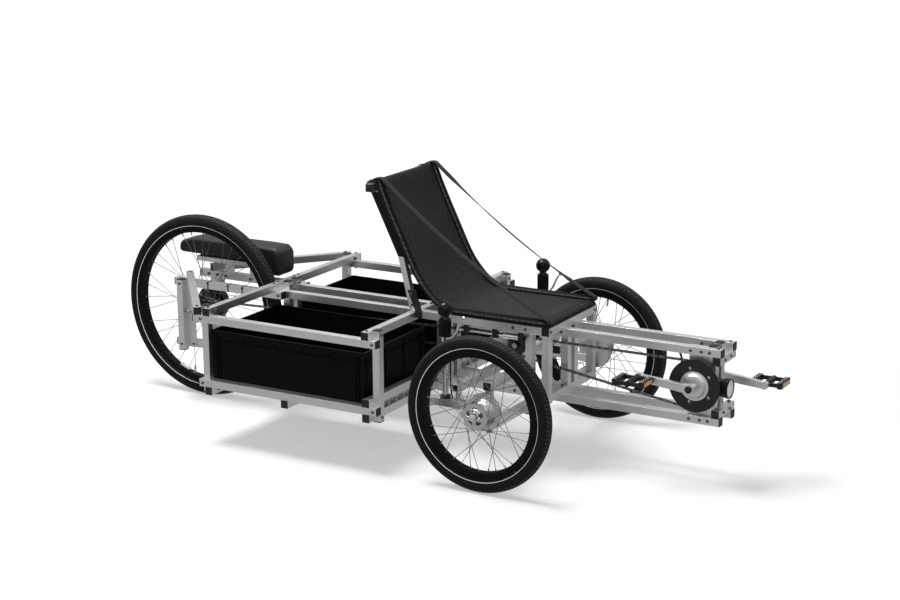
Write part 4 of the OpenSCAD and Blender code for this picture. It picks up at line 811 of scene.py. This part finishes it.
class TRIKE_OT_sling(bpy.types.Operator):
    """The seat's net, its two sleeves, the cloth round the back's posts and the folded front hem"""
    bl_idname = "trike.sling"
    bl_label = "Seat sling"
    # The net starts to sag past the flap and takes a slope's length to sag fully; its pucker's height,
    # length and reach
    FLAP_L, SLOPE_L, PUCKER = 60, 110, (0.5, 17.0, 12)
    HEM = ((70, 487.5), (86, 488.6), (100, 488.4), (107.5, 484), (109.6, 477.5))
    POST, POST_HALF, POST_Y, CLOTH_HALF = ((-430, 648), (-531, 852)), 12.5, 163.0, 12.8

    def net(self, s, sag):
        """The net hangs sag (1 - (y/Y)^2) below the sleeves' line, with a small pucker beside each sleeve."""
        reach = SLEEVE_Y - SLEEVE_R * 0.92
        y = np.linspace(-1, 1, 49) * reach
        ends = np.clip(np.minimum(s - self.FLAP_L, s[-1] - s) / self.SLOPE_L, 0, 1)
        height, wave, fade = self.PUCKER
        pucker = height * np.sin(s / wave)[:, None] * np.exp(-(reach - np.abs(y)) / fade)
        depth = -sag / MM * (1 - (y / reach) ** 2) * ends[:, None] + pucker
        obj = piece("sling_net", [grid(spread(SLING_LINE, y, depth), u=s, v=y)], ["sling mesh"], "frame",
                    60, "seat_sling")
        solid = obj.modifiers.new("thickness", "SOLIDIFY")
        solid.thickness, solid.offset = 2.4 * MM, 0

    def sleeve(self, s):
        """A round tube whose radius swells and draws in a little along the seam."""
        t = np.linspace(0, 2 * pi, 24, endpoint=False)
        swell = 1 + 0.018 * np.sin(s / 23.0)[:, None] * np.sin(2 * t)
        taper = np.clip(0.28 + (s - 55) / 45, 0.28, 1.0) * np.where(s[-1] - s < 1, 0.8, 1.0)
        radius = SLEEVE_R * swell * taper[:, None]
        path = coords(SLING_LINE[:, 0], SLEEVE_Y, SLING_LINE[:, 1])
        return sweep(path, coords(radius * np.cos(t), radius * np.sin(t))).made_of(1)

    def hem(self, thick=1.6):
        """A folded band over the front tube: a rounded line, thick along its own normal."""
        line = rounded_path(self.HEM, 6)
        y = np.linspace(6 - SLEEVE_Y, SLEEVE_Y - 6, 33)
        sides = [spread(line, y, lift) for lift in (thick + 0.5 * np.sin(y / 9.0), 0.0)]
        points = np.concatenate([sides[0], sides[1][:, ::-1]], 1)
        return grid(points, False, True, run_length(line), np.concatenate([y, y[::-1], y[:1]]), True)

    def pocket(self):
        """The cloth round one upper back post: it reaches from the post's rear face to the sleeve's middle.

        Each section is a superellipse, |x/a|^4 + |y/b|^4 = 1.
        """
        u = np.linspace(0, 1, 24)[:, None]
        low, high = np.array(self.POST)
        x, z = (low * (1 - u) + high * u).T[..., None]
        line = SLING_LINE[::-1]
        rear = x - self.POST_HALF
        half = (np.maximum(np.interp(z, line[:, 1], line[:, 0]) - 4 - rear, 24.5) + 0.6 * np.sin(u * 41)) / 2
        t = np.linspace(0, 2 * pi, 28, endpoint=False)
        c, d = (np.sign(k) * np.sqrt(np.abs(k)) for k in (np.cos(t), np.sin(t)))
        points = coords(rear + half + c * half, self.POST_Y + d * self.CLOTH_HALF, z)
        middle = coords(rear + half, self.POST_Y, z)[:, 0]
        return grid(points, False, True, run_length(middle), round_length(points[0, :, :2]), True)

    def execute(self, context):
        s = run_length(SLING_LINE)
        self.net(s, context.scene.trike_seat.sag)
        # Seam: a thin raised cord of thread where the net meets the sleeve
        seam_path = spread(SLING_LINE, np.array([SLEEVE_Y - SLEEVE_R * 0.86]), 4.5)[4:-3, 0]
        sides = [self.sleeve(s), sweep(seam_path, ring(1.5, 8)), self.pocket()]
        piece("sling_sleeves", [*sides, *map(flipped, sides), self.hem()], ["sleeve cloth", "sling mesh"],
              "frame", 50)
        return {"FINISHED"}


class TRIKE_OT_straps(bpy.types.Operator):
    """Two webbing straps from the sling's top corners to its front corners"""
    bl_idname = "trike.straps"
    bl_label = "Seat straps"
    TOP, LOW, SAG = np.array([-495.7, 897.2]), np.array([97, 505.0]), np.array([0, 26])
    # At the top the strap lies on the flap, and at the front it dips to its stitching on the sleeve
    ON_FLAP, ON_SLEEVE = [[-536, 889], [-519, 898], [-505, 899.5]], [[106, 500], [107, 492], [103, 489]]
    WIDTH, THICK, TWIST = 25, 2.4, radians(33)

    def strap(self, most):
        """The line drops 4 sag u (1 - u); the band turns by most sin(pi share)^0.5 between its ends."""
        u = np.linspace(0, 1, 60)[:, None]
        line = self.TOP * (1 - u) + self.LOW * u - self.SAG * 4 * u * (1 - u)
        line = np.concatenate([self.ON_FLAP, line, self.ON_SLEEVE])
        share = np.clip((np.arange(len(line)) / len(line) - 0.15) / 0.65, 0, 1)
        twist = most * np.sin(pi * share)[:, None] ** 0.5
        x, y = rounded_rect(self.THICK, self.WIDTH, 1.1, 3).T
        c, s = np.cos(twist), np.sin(twist)
        return sweep(coords(line[:, 0], SLEEVE_Y, line[:, 1]), coords(x * c - y * s, x * s + y * c))

    def execute(self, context):
        piece("seat_webbing", [flipped(self.strap(0)), self.strap(self.TWIST)], ["strap webbing"], "frame",
              50, "seat_straps")
        return {"FINISHED"}


class TRIKE_OT_steering(bpy.types.Operator):
    """Steering arms, handles with grip and ball, clamps and brake levers"""
    bl_idname = "trike.steering"
    bl_label = "Steering"
    STICK_X, STICK_Y, PIVOT = -172, 335, (22, 450)
    STICK = [(9.8, 230), (10, 231), (10, 519)]
    CLAMP = [(10.1, 440), (14.2, 440), (15, 441), (15, 454), (14.2, 455), (10.1, 455)]
    COLLAR = [(10.1, 253), (16.2, 253), (17, 254), (17, 262), (16.2, 263), (10.1, 263)]
    GRIP = [(10.1, 456), (17.5, 456), (19.4, 457.5), (20, 461), (20, 470), (20, 498), (20, 507), (19.2, 511),
            (16, 512), (10.1, 512)]
    PIN = [(2.2, -10.5), (4, -10), (4, -8.6), (2.4, -8.4), (2.4, 8.4), (4, 8.6), (4, 10), (2.2, 10.5)]
    LEVER = [(-1.5, -6), (4, 4), (16, 20), (24, 38), (34, 57), (42, 66)]
    EYE, TIP_R = [(2.7, -3), (5.4, -3), (5.4, 3), (2.7, 3)], 6.3
    BALL_R, BALL_Z = 24.3, 541.5
    # On the steering arm: the tie rod's pin above and below it, the head of its end bolt, and its end cap
    TIE_PIN_X, TIE_PIN_Z, BOLT, CAP_X = (-134, -116), (227.9, 253.1), (-200, 347.6, 253.5), -235.05

    def handle(self, prefix, x, y, pivot):
        base = (x, y, 0)
        t = np.linspace(-0.46 * pi, pi / 2, 24)[2:]
        ball = np.concatenate([[(10.1, 513.5), (12.5, 513.6), (12.5, 517)],
                               coords(self.BALL_R * np.cos(t), self.BALL_Z + self.BALL_R * np.sin(t))])
        ball[-1, 0] = 0.05
        parts = [lathe(self.STICK, base, UP, 32, ends=True), lathe(self.CLAMP, base, UP, 32, closed=True),
                 block([x + 12, y - 8, 440.5], [x + 28, y - 3.4, 454.5], 1.5),
                 block([x + 12, y + 3.4, 440.5], [x + 28, y + 8, 454.5], 1.5),
                 lathe(self.PIN, pivot, ACROSS, 16, ends=True),
                 lathe(self.COLLAR, base, UP, 32, closed=True).made_of(1),
                 lathe(self.GRIP, base, UP, 72, closed=True, flute=(12, 2.2, 3, 7)).made_of(2),
                 lathe(ball, base, UP, 48, ends=True).made_of(2)]
        piece(prefix + "_grip_and_stick", parts, ["polished alloy", "moulded black", "gloss black"],
              prefix + "_steering", node=prefix + "_handle")

    def lever(self, prefix, pivot):
        """A flat blade along a slightly bent line that leans forward, thinner at its tip, with a ball end."""
        rel = rounded_path(self.LEVER, 6)
        path = pivot + coords(rel[:, 0], 0, rel[:, 1])
        k = np.linspace(0, 1, len(path))
        outline = rounded_rect(6, 6, 1.6, 3) * coords(1.0 - 0.45 * k, 0.95 + 0.9 * np.sin(pi * k))[:, None]
        t = np.linspace(-pi / 2, pi / 2, 13)
        tip = self.TIP_R * coords(np.cos(t), np.sin(t)) + [0.02, 0]
        parts = [sweep(path, outline), lathe(self.EYE, pivot, ACROSS, 20, closed=True),
                 lathe(tip, pivot + [45, 0, 70], UP, 20, ends=True)]
        piece(prefix + "_lever_blade", parts, ["polished alloy"], prefix + "_brake_lever",
              node=prefix + "_brake_lever")

    def execute(self, context):
        back, front, under, over = *map(along, self.TIE_PIN_X), *(z * MM for z in self.TIE_PIN_Z)
        bolt_x, bolt_y, bolt_z = along(self.BOLT[0]), self.BOLT[1] * MM, self.BOLT[2] * MM

        def loose_steel(x, y, z):
            pin = (x > back) * (x < front) * ((z > over) + (z < under))
            return pin + (abs(y) > bolt_y) * (z < bolt_z) * (x < bolt_x)
        for prefix, side in SIDES:
            x, y = self.STICK_X, side * self.STICK_Y
            pivot = np.array([x + self.PIVOT[0], y, self.PIVOT[1]], float)
            self.handle(prefix, x, y, pivot)
            self.lever(prefix, pivot)
            dress(prefix + "_steering_arm",
                  tube_aluminium("steering arm", 0, lambda x, y, z: x < along(self.CAP_X), loose_steel))
        return {"FINISHED"}


class TRIKE_OT_chains(bpy.types.Operator):
    """Both chains as rows of links on their pitch lines, with rollers and pins"""
    bl_idname = "trike.chains"
    bl_label = "Chains"
    PITCH = 12.7
    RUNS = (  # node, Y, and for both ends the wheel's centre and its teeth
        ("front_chain", -53, (-70, 370), 15, (554, 325), 38),
        ("rear_chain", -43.5, (-1358, 330), 15, (-70, 370), 15))

    def pitch_line(self, c1, n1, c2, n2):
        """The outer tangent loop of two pitch circles, of radius pitch / (2 sin(pi / teeth))."""
        c1, c2 = np.array(c1, float), np.array(c2, float)
        r1, r2 = (self.PITCH / (2 * sin(pi / n)) for n in (n1, n2))
        v = c2 - c1
        base = atan2(v[1], v[0])
        a = np.arccos((r1 - r2) / np.linalg.norm(v))
        t1, t2 = np.linspace(base + a, base + 2 * pi - a, 200), np.linspace(base - a, base + a, 200)
        arcs = [c + r * coords(np.cos(t), np.sin(t)) for c, r, t in ((c1, r1, t1), (c2, r2, t2))]
        return np.concatenate([*arcs, arcs[0][:1]])

    def plate(self):
        """A link plate along +Z from pin to pin, waisted between them, 1 thick along Y."""
        t = np.linspace(-0.36 * pi, 0.36 * pi, 5)
        end = 4.1 * coords(np.sin(t), np.cos(t))
        half = self.PITCH / 2
        outline = np.concatenate([end + [0, half], [[3.1, 0]], end[::-1] * [1, -1] - [0, half], [[-3.1, 0]]])
        points = coords(outline[:, 0], np.array([[-0.5], [0.5]]), outline[:, 1])
        return grid(points, False, True, ends=True)

    def execute(self, context):
        roller = lathe([(3.7, -1.5), (3.7, 1.5)], (0, 0, 0), ACROSS, 8, ends=True)
        pin = lathe([(1.6, -4.0), (1.8, -3.7), (1.8, 3.7), (1.6, 4.0)], (0, 0, 0), ACROSS, 6, ends=True)
        for node, y, *ends in self.RUNS:
            line = self.pitch_line(*ends)
            s = run_length(line)
            count = int(round(s[-1] / self.PITCH / 2)) * 2
            at_s = np.linspace(0, s[-1], count + 1)
            pins = coords(np.interp(at_s, s, line[:, 0]), y, np.interp(at_s, s, line[:, 1]))
            middle, turns = (pins[1:] + pins[:-1]) / 2, turned(pins[1:] - pins[:-1])
            # Outer plates take the lighter link steel and inner plates the dark chain steel: a painted
            # highlight on every other link
            parts = [repeat(self.plate().made_of(odd), turns[odd::2], middle[odd::2] + [0, way * offset, 0])
                     for odd, offset in ((0, 2.0), (1, 3.1)) for way in (-1, 1)]
            eye = np.broadcast_to(np.eye(3), (count, 3, 3))
            parts += [repeat(part, eye, pins[:-1]) for part in (roller, pin)]
            piece(node + "_links", parts, ["chain steel", "link steel"], "frame", node=node)
        dress("mid_sprockets", "chain steel")
        return {"FINISHED"}


class TRIKE_OT_cranks(bpy.types.Operator):
    """Chainring with its guard, cranks, the unit between them, pedals with studs and reflectors"""
    bl_idname = "trike.cranks"
    bl_label = "Cranks and pedals"
    CRANK, CRANK_L, TILT = (554, 325), 170, radians(5)
    GUARD_Y, GUARD_R, SPINDLE_Y, SPINDLE_R = (-0.0612, -0.0541), 0.047, 0.10601, 0.0114
    PEDAL = (118, 176)

    def execute(self, context):
        cx, cz = along(self.CRANK[0]), self.CRANK[1] * MM
        low, high = self.GUARD_Y

        def guard(x, y, z):
            return (y > low) * (y < high) * ((x - cx) ** 2.0 + (z - cz) ** 2.0 > self.GUARD_R ** 2)

        def spindle(x, y, z):
            return ((x - cx) ** 2.0 + (z - cz) ** 2.0 < self.SPINDLE_R ** 2) * (abs(y) > self.SPINDLE_Y)
        dress("chainring", tube_aluminium("chainring", 0, guard, lambda x, y, z: y > high))
        dress("crank_arms", tube_aluminium("crank arms", 0, spindle))
        dress("motor_housing", "satin black paint")
        stud = lathe([(1.8, -0.4), (1.8, 1.4), (1.2, 2.0)], (0, 0, 0), UP, 8, ends=True)
        for prefix, side in SIDES:
            angle = pi - self.TILT if side < 0 else -self.TILT
            x = self.CRANK[0] + self.CRANK_L * cos(angle)
            z = self.CRANK[1] + self.CRANK_L * sin(angle)
            y0, y1 = sorted(side * k for k in self.PEDAL)
            parts = [block([x + a, y0, z - 6.5], [x + a + 2.2, y1, z + 6.5], 1.0) for a in (52.2, -54.4)]
            body = prefix + "_pedal"
            piece(body + "_reflectors", parts, ["amber reflector"], body)
            gx, gy = (g.ravel() for g in np.meshgrid([-47, -41, 41, 47], np.linspace(y0 - 4, y1 + 4, 6)))
            eye = np.broadcast_to(np.eye(3), (len(gx), 3, 3))
            parts = [repeat(stud, eye * [1, way, way], coords(x + gx, gy, z + way * 10)) for way in (1, -1)]
            piece(body + "_studs", parts, ["zinc steel"], body)
            dress(body, "moulded black")
        return {"FINISHED"}


class TRIKE_OT_cargo(bpy.types.Operator):
    """Deck, boxes and the battery on its mount"""
    bl_idname = "trike.cargo"
    bl_label = "Cargo and battery"
    RAIL_Z = 0.48805
    LOCK = [(0.1, 3.4), (6, 3.4), (7.5, 2.4), (7.5, -2)]
    LID = [(0.1, 2.6), (11, 2.6), (13, 1.4), (13, -2)]

    def battery(self):
        """A loft along X: each section is a rounded rectangle from low(u) to top(u), narrower at both ends.

        Up to the neck the floor lies 44.2 over the base, and past the neck the head reaches down to it.
        """
        a, b = (np.array(end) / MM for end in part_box("battery"))
        x0, x1 = a[0] - AXLE_X / MM, b[0] - AXLE_X / MM
        y0, half_w = (a[1] + b[1]) / 2, (b[1] - a[1]) / 2
        base, crown, span = a[2], b[2], x1 - x0
        floor, neck = base + 44.2, span - 77
        u = np.concatenate([[0, 0.4, 2, 6, 14, 30], np.linspace(60, neck - 16, 8),
                            neck + np.array([-8, -3, 0, 4, 9, 24, 45]),
                            span - np.array([20, 10, 5, 1.5, 0.2, 0])])
        low = np.interp(u, [0, 8, neck - 8, neck - 3, neck, neck + 5, span - 8, span],
                        [floor + 2, floor, floor, floor - 3, base + 9, base + 0.5, base + 0.5, base + 8])
        top = np.interp(u, [0, 4, 12, 60, neck, span - 20, span - 7, span],
                        crown - np.array([28, 20, 14, 2, 0, 2, 11, 17]))
        width = 2 * (half_w - 9 * np.exp(-u / 7.0) - 9 * np.exp(-(span - u) / 7.0))
        rows = [rounded_rect(w, h, min(15.0, h / 2.3), 7) for w, h in zip(width, top - low)]
        y, z = np.moveaxis(rows, -1, 0)
        points = coords(x0 + u[:, None], y0 + y, ((top + low) / 2)[:, None] + z)
        # A lock barrel on the near side, and a charge port's round lid
        near = y0 - half_w
        lock = lathe(self.LOCK, (x1 - 52, near, base + 34), (0, -1, 0), 24)
        lid = lathe(self.LID, (x1 - 130, near, base + 72), (0, -1, 0), 32)
        piece("battery_shell", [grid(points, False, True, u, ends=True), lock.made_of(1), lid],
              ["moulded black", "zinc steel"], "battery", 40, "battery")

    def execute(self, context):
        dress("cargo_deck", "deck sheet")
        for name in ("near_box", "far_box"):
            dress(name, "box plastic")
        dress("battery_mount", tube_aluminium("battery mount", 0, lambda x, y, z: z > self.RAIL_Z))
        self.battery()
        return {"FINISHED"}


class TRIKE_OT_cables(bpy.types.Operator):
    """Power cable under the beams and both brake cables"""
    bl_idname = "trike.cables"
    bl_label = "Cables"
    POWER = [(-1160, 98, 471.7), (-1160, 98, 445), (-1152, 97, 420), (-1120, 84, 410), (-1040, 66, 411),
             (-1000, 62, 412), (-940, 59.3, 414.2), (-700, 59.3, 414.2), (-440, 59.3, 414.2),
             (-340, 59.3, 414.2), (-280, 59.3, 420.3), (0, 59.3, 420.3), (300, 59.3, 420.3), (430, 44, 417),
             (470, 30, 390), (480, 18, 345), (507, 18, 329), (512.4, 18, 325)]
    BRAKE = [(-160, 321, 437), (-160, 319.7, 396), (-162, 319.7, 330), (-160, 319.7, 275), (-150, 319.7, 250),
             (-110, 319.7, 244), (-70, 319.7, 256), (-50, 322.7, 266), (-38, 350, 282), (-38, 383, 284)]
    FERRULE = [(2.6, 0), (3.6, 0.5), (3.6, 9), (2.6, 9.5)]

    def execute(self, context):
        cover = sweep(rounded_path(self.POWER, 10), ring(3.5, 14), (0.02, 1, 0.03))
        piece("power_cable_cover", [cover], ["soft rubber"], "frame", 60, "power_cable")
        for prefix, side in SIDES:
            path = rounded_path(np.array(self.BRAKE) * [1, side, 1], 12)
            cable = sweep(path, ring(2.5, 12), (0.3, 1, 0.1))
            ferrule = lathe(self.FERRULE, path[0] + [0, 0, 0.5], path[3] - path[0], 14).made_of(1)
            node = prefix + "_brake_cable"
            piece(node + "_cover", [cable, ferrule], ["soft rubber", "polished alloy"], prefix + "_steering",
                  60, node)
        return {"FINISHED"}


class TRIKE_OT_lamp(bpy.types.Operator):
    """Headlight: finned housing, bezel and fluted lens"""
    bl_idname = "trike.lamp"
    bl_label = "Headlight"
    CENTRE = (614, 0, 314)

    def execute(self, context):
        """Profiles (radius, distance forward) turned about the line through the lamp's middle."""
        rows = [(0.1, 0.3), (24, 0.3), (26.5, 2)]
        for k in range(4):
            x = 4 + 5 * k
            rows += [(27.4 + k, x), (27.4 + k, x + 2.4), (25.4 + k, x + 3), (25.4 + k, x + 4.4)]
        rows += [(31.2, 25), (32, 27), (32, 36), (31, 37), (29.2, 37), (28.6, 33.5), (0.1, 33.2)]
        t = np.linspace(0, 1, 12)
        dome = coords(28.5 * (1 - t ** 2) + 0.05, 33.6 + 3.2 * np.sqrt(t))
        parts = [lathe(rows, self.CENTRE, AHEAD, 64),
                 lathe(dome, self.CENTRE, AHEAD, 64, ends=True).made_of(1)]
        piece("headlight_unit", parts, ["satin black paint", "lamp lens"], "frame", 30,
              "headlight")
        return {"FINISHED"}


def stand(name, data, axes, place):
    """Puts a camera or a lamp at a place in metres, with its own X, Y and Z along the three axes."""
    obj = bpy.data.objects.new(name, data)
    m = np.eye(4)
    m[:3, :3], m[:3, 3] = np.stack(axes, 1), place
    obj.matrix_world = Matrix(m.tolist())
    bpy.context.scene.collection.objects.link(obj)
    return obj


class TRIKE_OT_stage(bpy.types.Operator):
    """Camera at the photograph's angle, pale floor and soft lights"""
    bl_idname = "trike.stage"
    bl_label = "Stage"
    EYE = (2728.1, -5356.9, 2063.0)
    # Half the lengths of the ellipse on the floor, in metres, within which the shadow shows
    SHADOW = (1.9, 1.25)
    NEAR_GLOW, FLOOR_GLOW, MIRRORED_FLOOR, MIRRORED_SIDES = 0.38, 1.06, 0.45, 0.2
    LAMPS = (("key", (-1.1, -0.45, 4.6), (0, 0, 0.3), 1.0), ("side", (2.5, -4.6, 2.6), (-0.1, 0, 0.4), 0.1))
    LAMP_SIZE = 2.4

    def camera(self, p):
        a, e = p.azimuth, p.elevation
        back = np.array([sin(a) * cos(e), -cos(a) * cos(e), sin(e)])
        right = np.array([cos(a), sin(a), 0])
        up = np.cross(back, right)
        c, s = cos(p.roll), sin(p.roll)
        data = bpy.data.cameras.new("camera")
        data.sensor_width, data.lens, data.clip_end = 36, p.lens, 100
        axes = (right * c + up * s, up * c - right * s, back)
        bpy.context.scene.camera = stand("camera", data, axes, at(self.EYE))

    def floor(self, p):
        """A disc that keeps the shadow near the object and turns to plain white further out."""
        r = np.concatenate([[0.02], np.linspace(0.5, 4, 12), np.linspace(6, 40, 8)])[:, None]
        t = np.linspace(0, 2 * pi, 96, endpoint=False)
        patch = grid(coords(r * np.cos(t), r * np.sin(t), -0.0005), False, True)
        mesh = bpy.data.meshes.new("floor")
        mesh.from_pydata(patch.verts.tolist(), [], patch.loops.reshape(-1, 4).tolist())
        obj = bpy.data.objects.new("floor", mesh)
        bpy.context.scene.collection.objects.link(obj)
        look = Look("floor_paper")
        x, y, z = look.split(look.place())
        away = ((x / self.SHADOW[0]) ** 2.0 + (y / self.SHADOW[1]) ** 2.0).step(1.0, 2.6)

        def glowing(paper):
            white, grey = (look.node("ShaderNodeEmission", None, {"Color": (1, 1, 1), "Strength": strength})
                           for strength in (self.FLOOR_GLOW, self.MIRRORED_FLOOR))
            mirrored = look.node("ShaderNodeLightPath", out="Is Glossy Ray")
            share = away * (1 - self.NEAR_GLOW) + self.NEAR_GLOW
            return look.blend(mirrored, look.blend(share, paper, white), grey)
        base = look.mix(look.noise(40.0, 3.0), *shades(p.floor, 0.985, 1))
        mesh.materials.append(look.finish(glowing, base=base, rough=0.9, specular=0.15))

    def world(self, p):
        """White for the camera, an even light, and for mirrors a ramp from dark sides to a white top."""
        world = bpy.data.worlds.new("studio")
        bpy.context.scene.world = world
        tree = Nodes(world)
        camera, through, mirrored = (tree.node("ShaderNodeLightPath", out="Is %s Ray" % kind)
                                     for kind in ("Camera", "Transmission", "Glossy"))
        seen = tree.node("ShaderNodeMath", {"operation": "MAXIMUM"}, {0: camera, 1: through})
        height = tree.split(tree.node("ShaderNodeTexCoord", out="Generated"))[2]
        stops = ((0.0, (self.MIRRORED_SIDES,) * 3 + (1,)), (0.75, (1, 1, 1, 1)))
        ramp = tree.node("ShaderNodeValToRGB", {"stops": stops}, {0: height})
        gloss = tree.node("ShaderNodeBackground", None, {0: ramp})
        sky, white = (tree.node("ShaderNodeBackground", None, {1: strength}) for strength in (p.sky, 1.0))
        light = tree.blend(seen, tree.blend(mirrored, sky, gloss), white)
        tree.node("ShaderNodeOutputWorld", None, {0: light})

    def execute(self, context):
        p = context.scene.trike_stage
        self.camera(p)
        self.floor(p)
        self.world(p)
        for name, place, target, share in self.LAMPS:
            data = bpy.data.lights.new(name, "AREA")
            data.shape, data.size, data.energy = "DISK", self.LAMP_SIZE, p.key * share
            z = unit(np.subtract(place, target))
            x = unit(np.cross(UP, z))
            stand(name, data, (x, np.cross(z, x), z), place)
        context.scene.view_settings.view_transform = "Standard"
        return {"FINISHED"}


STEPS = (TRIKE_OT_stage, TRIKE_OT_frame, TRIKE_OT_fittings, TRIKE_OT_wheels, TRIKE_OT_sling, TRIKE_OT_straps,
         TRIKE_OT_steering, TRIKE_OT_chains, TRIKE_OT_cranks, TRIKE_OT_cargo, TRIKE_OT_cables, TRIKE_OT_lamp)


class TRIKE_PT_panel(bpy.types.Panel):
    """Sizes, colours and steps of the tricycle"""
    bl_idname = "TRIKE_PT_panel"
    bl_label = "Tricycle"
    bl_space_type = "VIEW_3D"
    bl_region_type = "UI"
    bl_category = "Tricycle"

    def draw(self, context):
        for key, group in GROUPS.items():
            box = self.layout.box()
            for name in group.__annotations__:
                box.prop(getattr(context.scene, key), name)
        for step in STEPS:
            self.layout.operator(step.bl_idname)


def register():
    for cls in (*GROUPS.values(), *STEPS, TRIKE_PT_panel):
        bpy.utils.register_class(cls)
    for key, group in GROUPS.items():
        setattr(bpy.types.Scene, key, bpy.props.PointerProperty(type=group))


def unregister():
    for key in GROUPS:
        delattr(bpy.types.Scene, key)
    for cls in reversed((*GROUPS.values(), *STEPS, TRIKE_PT_panel)):
        bpy.utils.unregister_class(cls)


def main():
    register()
    for step in STEPS:
        getattr(bpy.ops.trike, step.bl_idname.split(".")[1])()


if __name__ == "__main__":
    main()
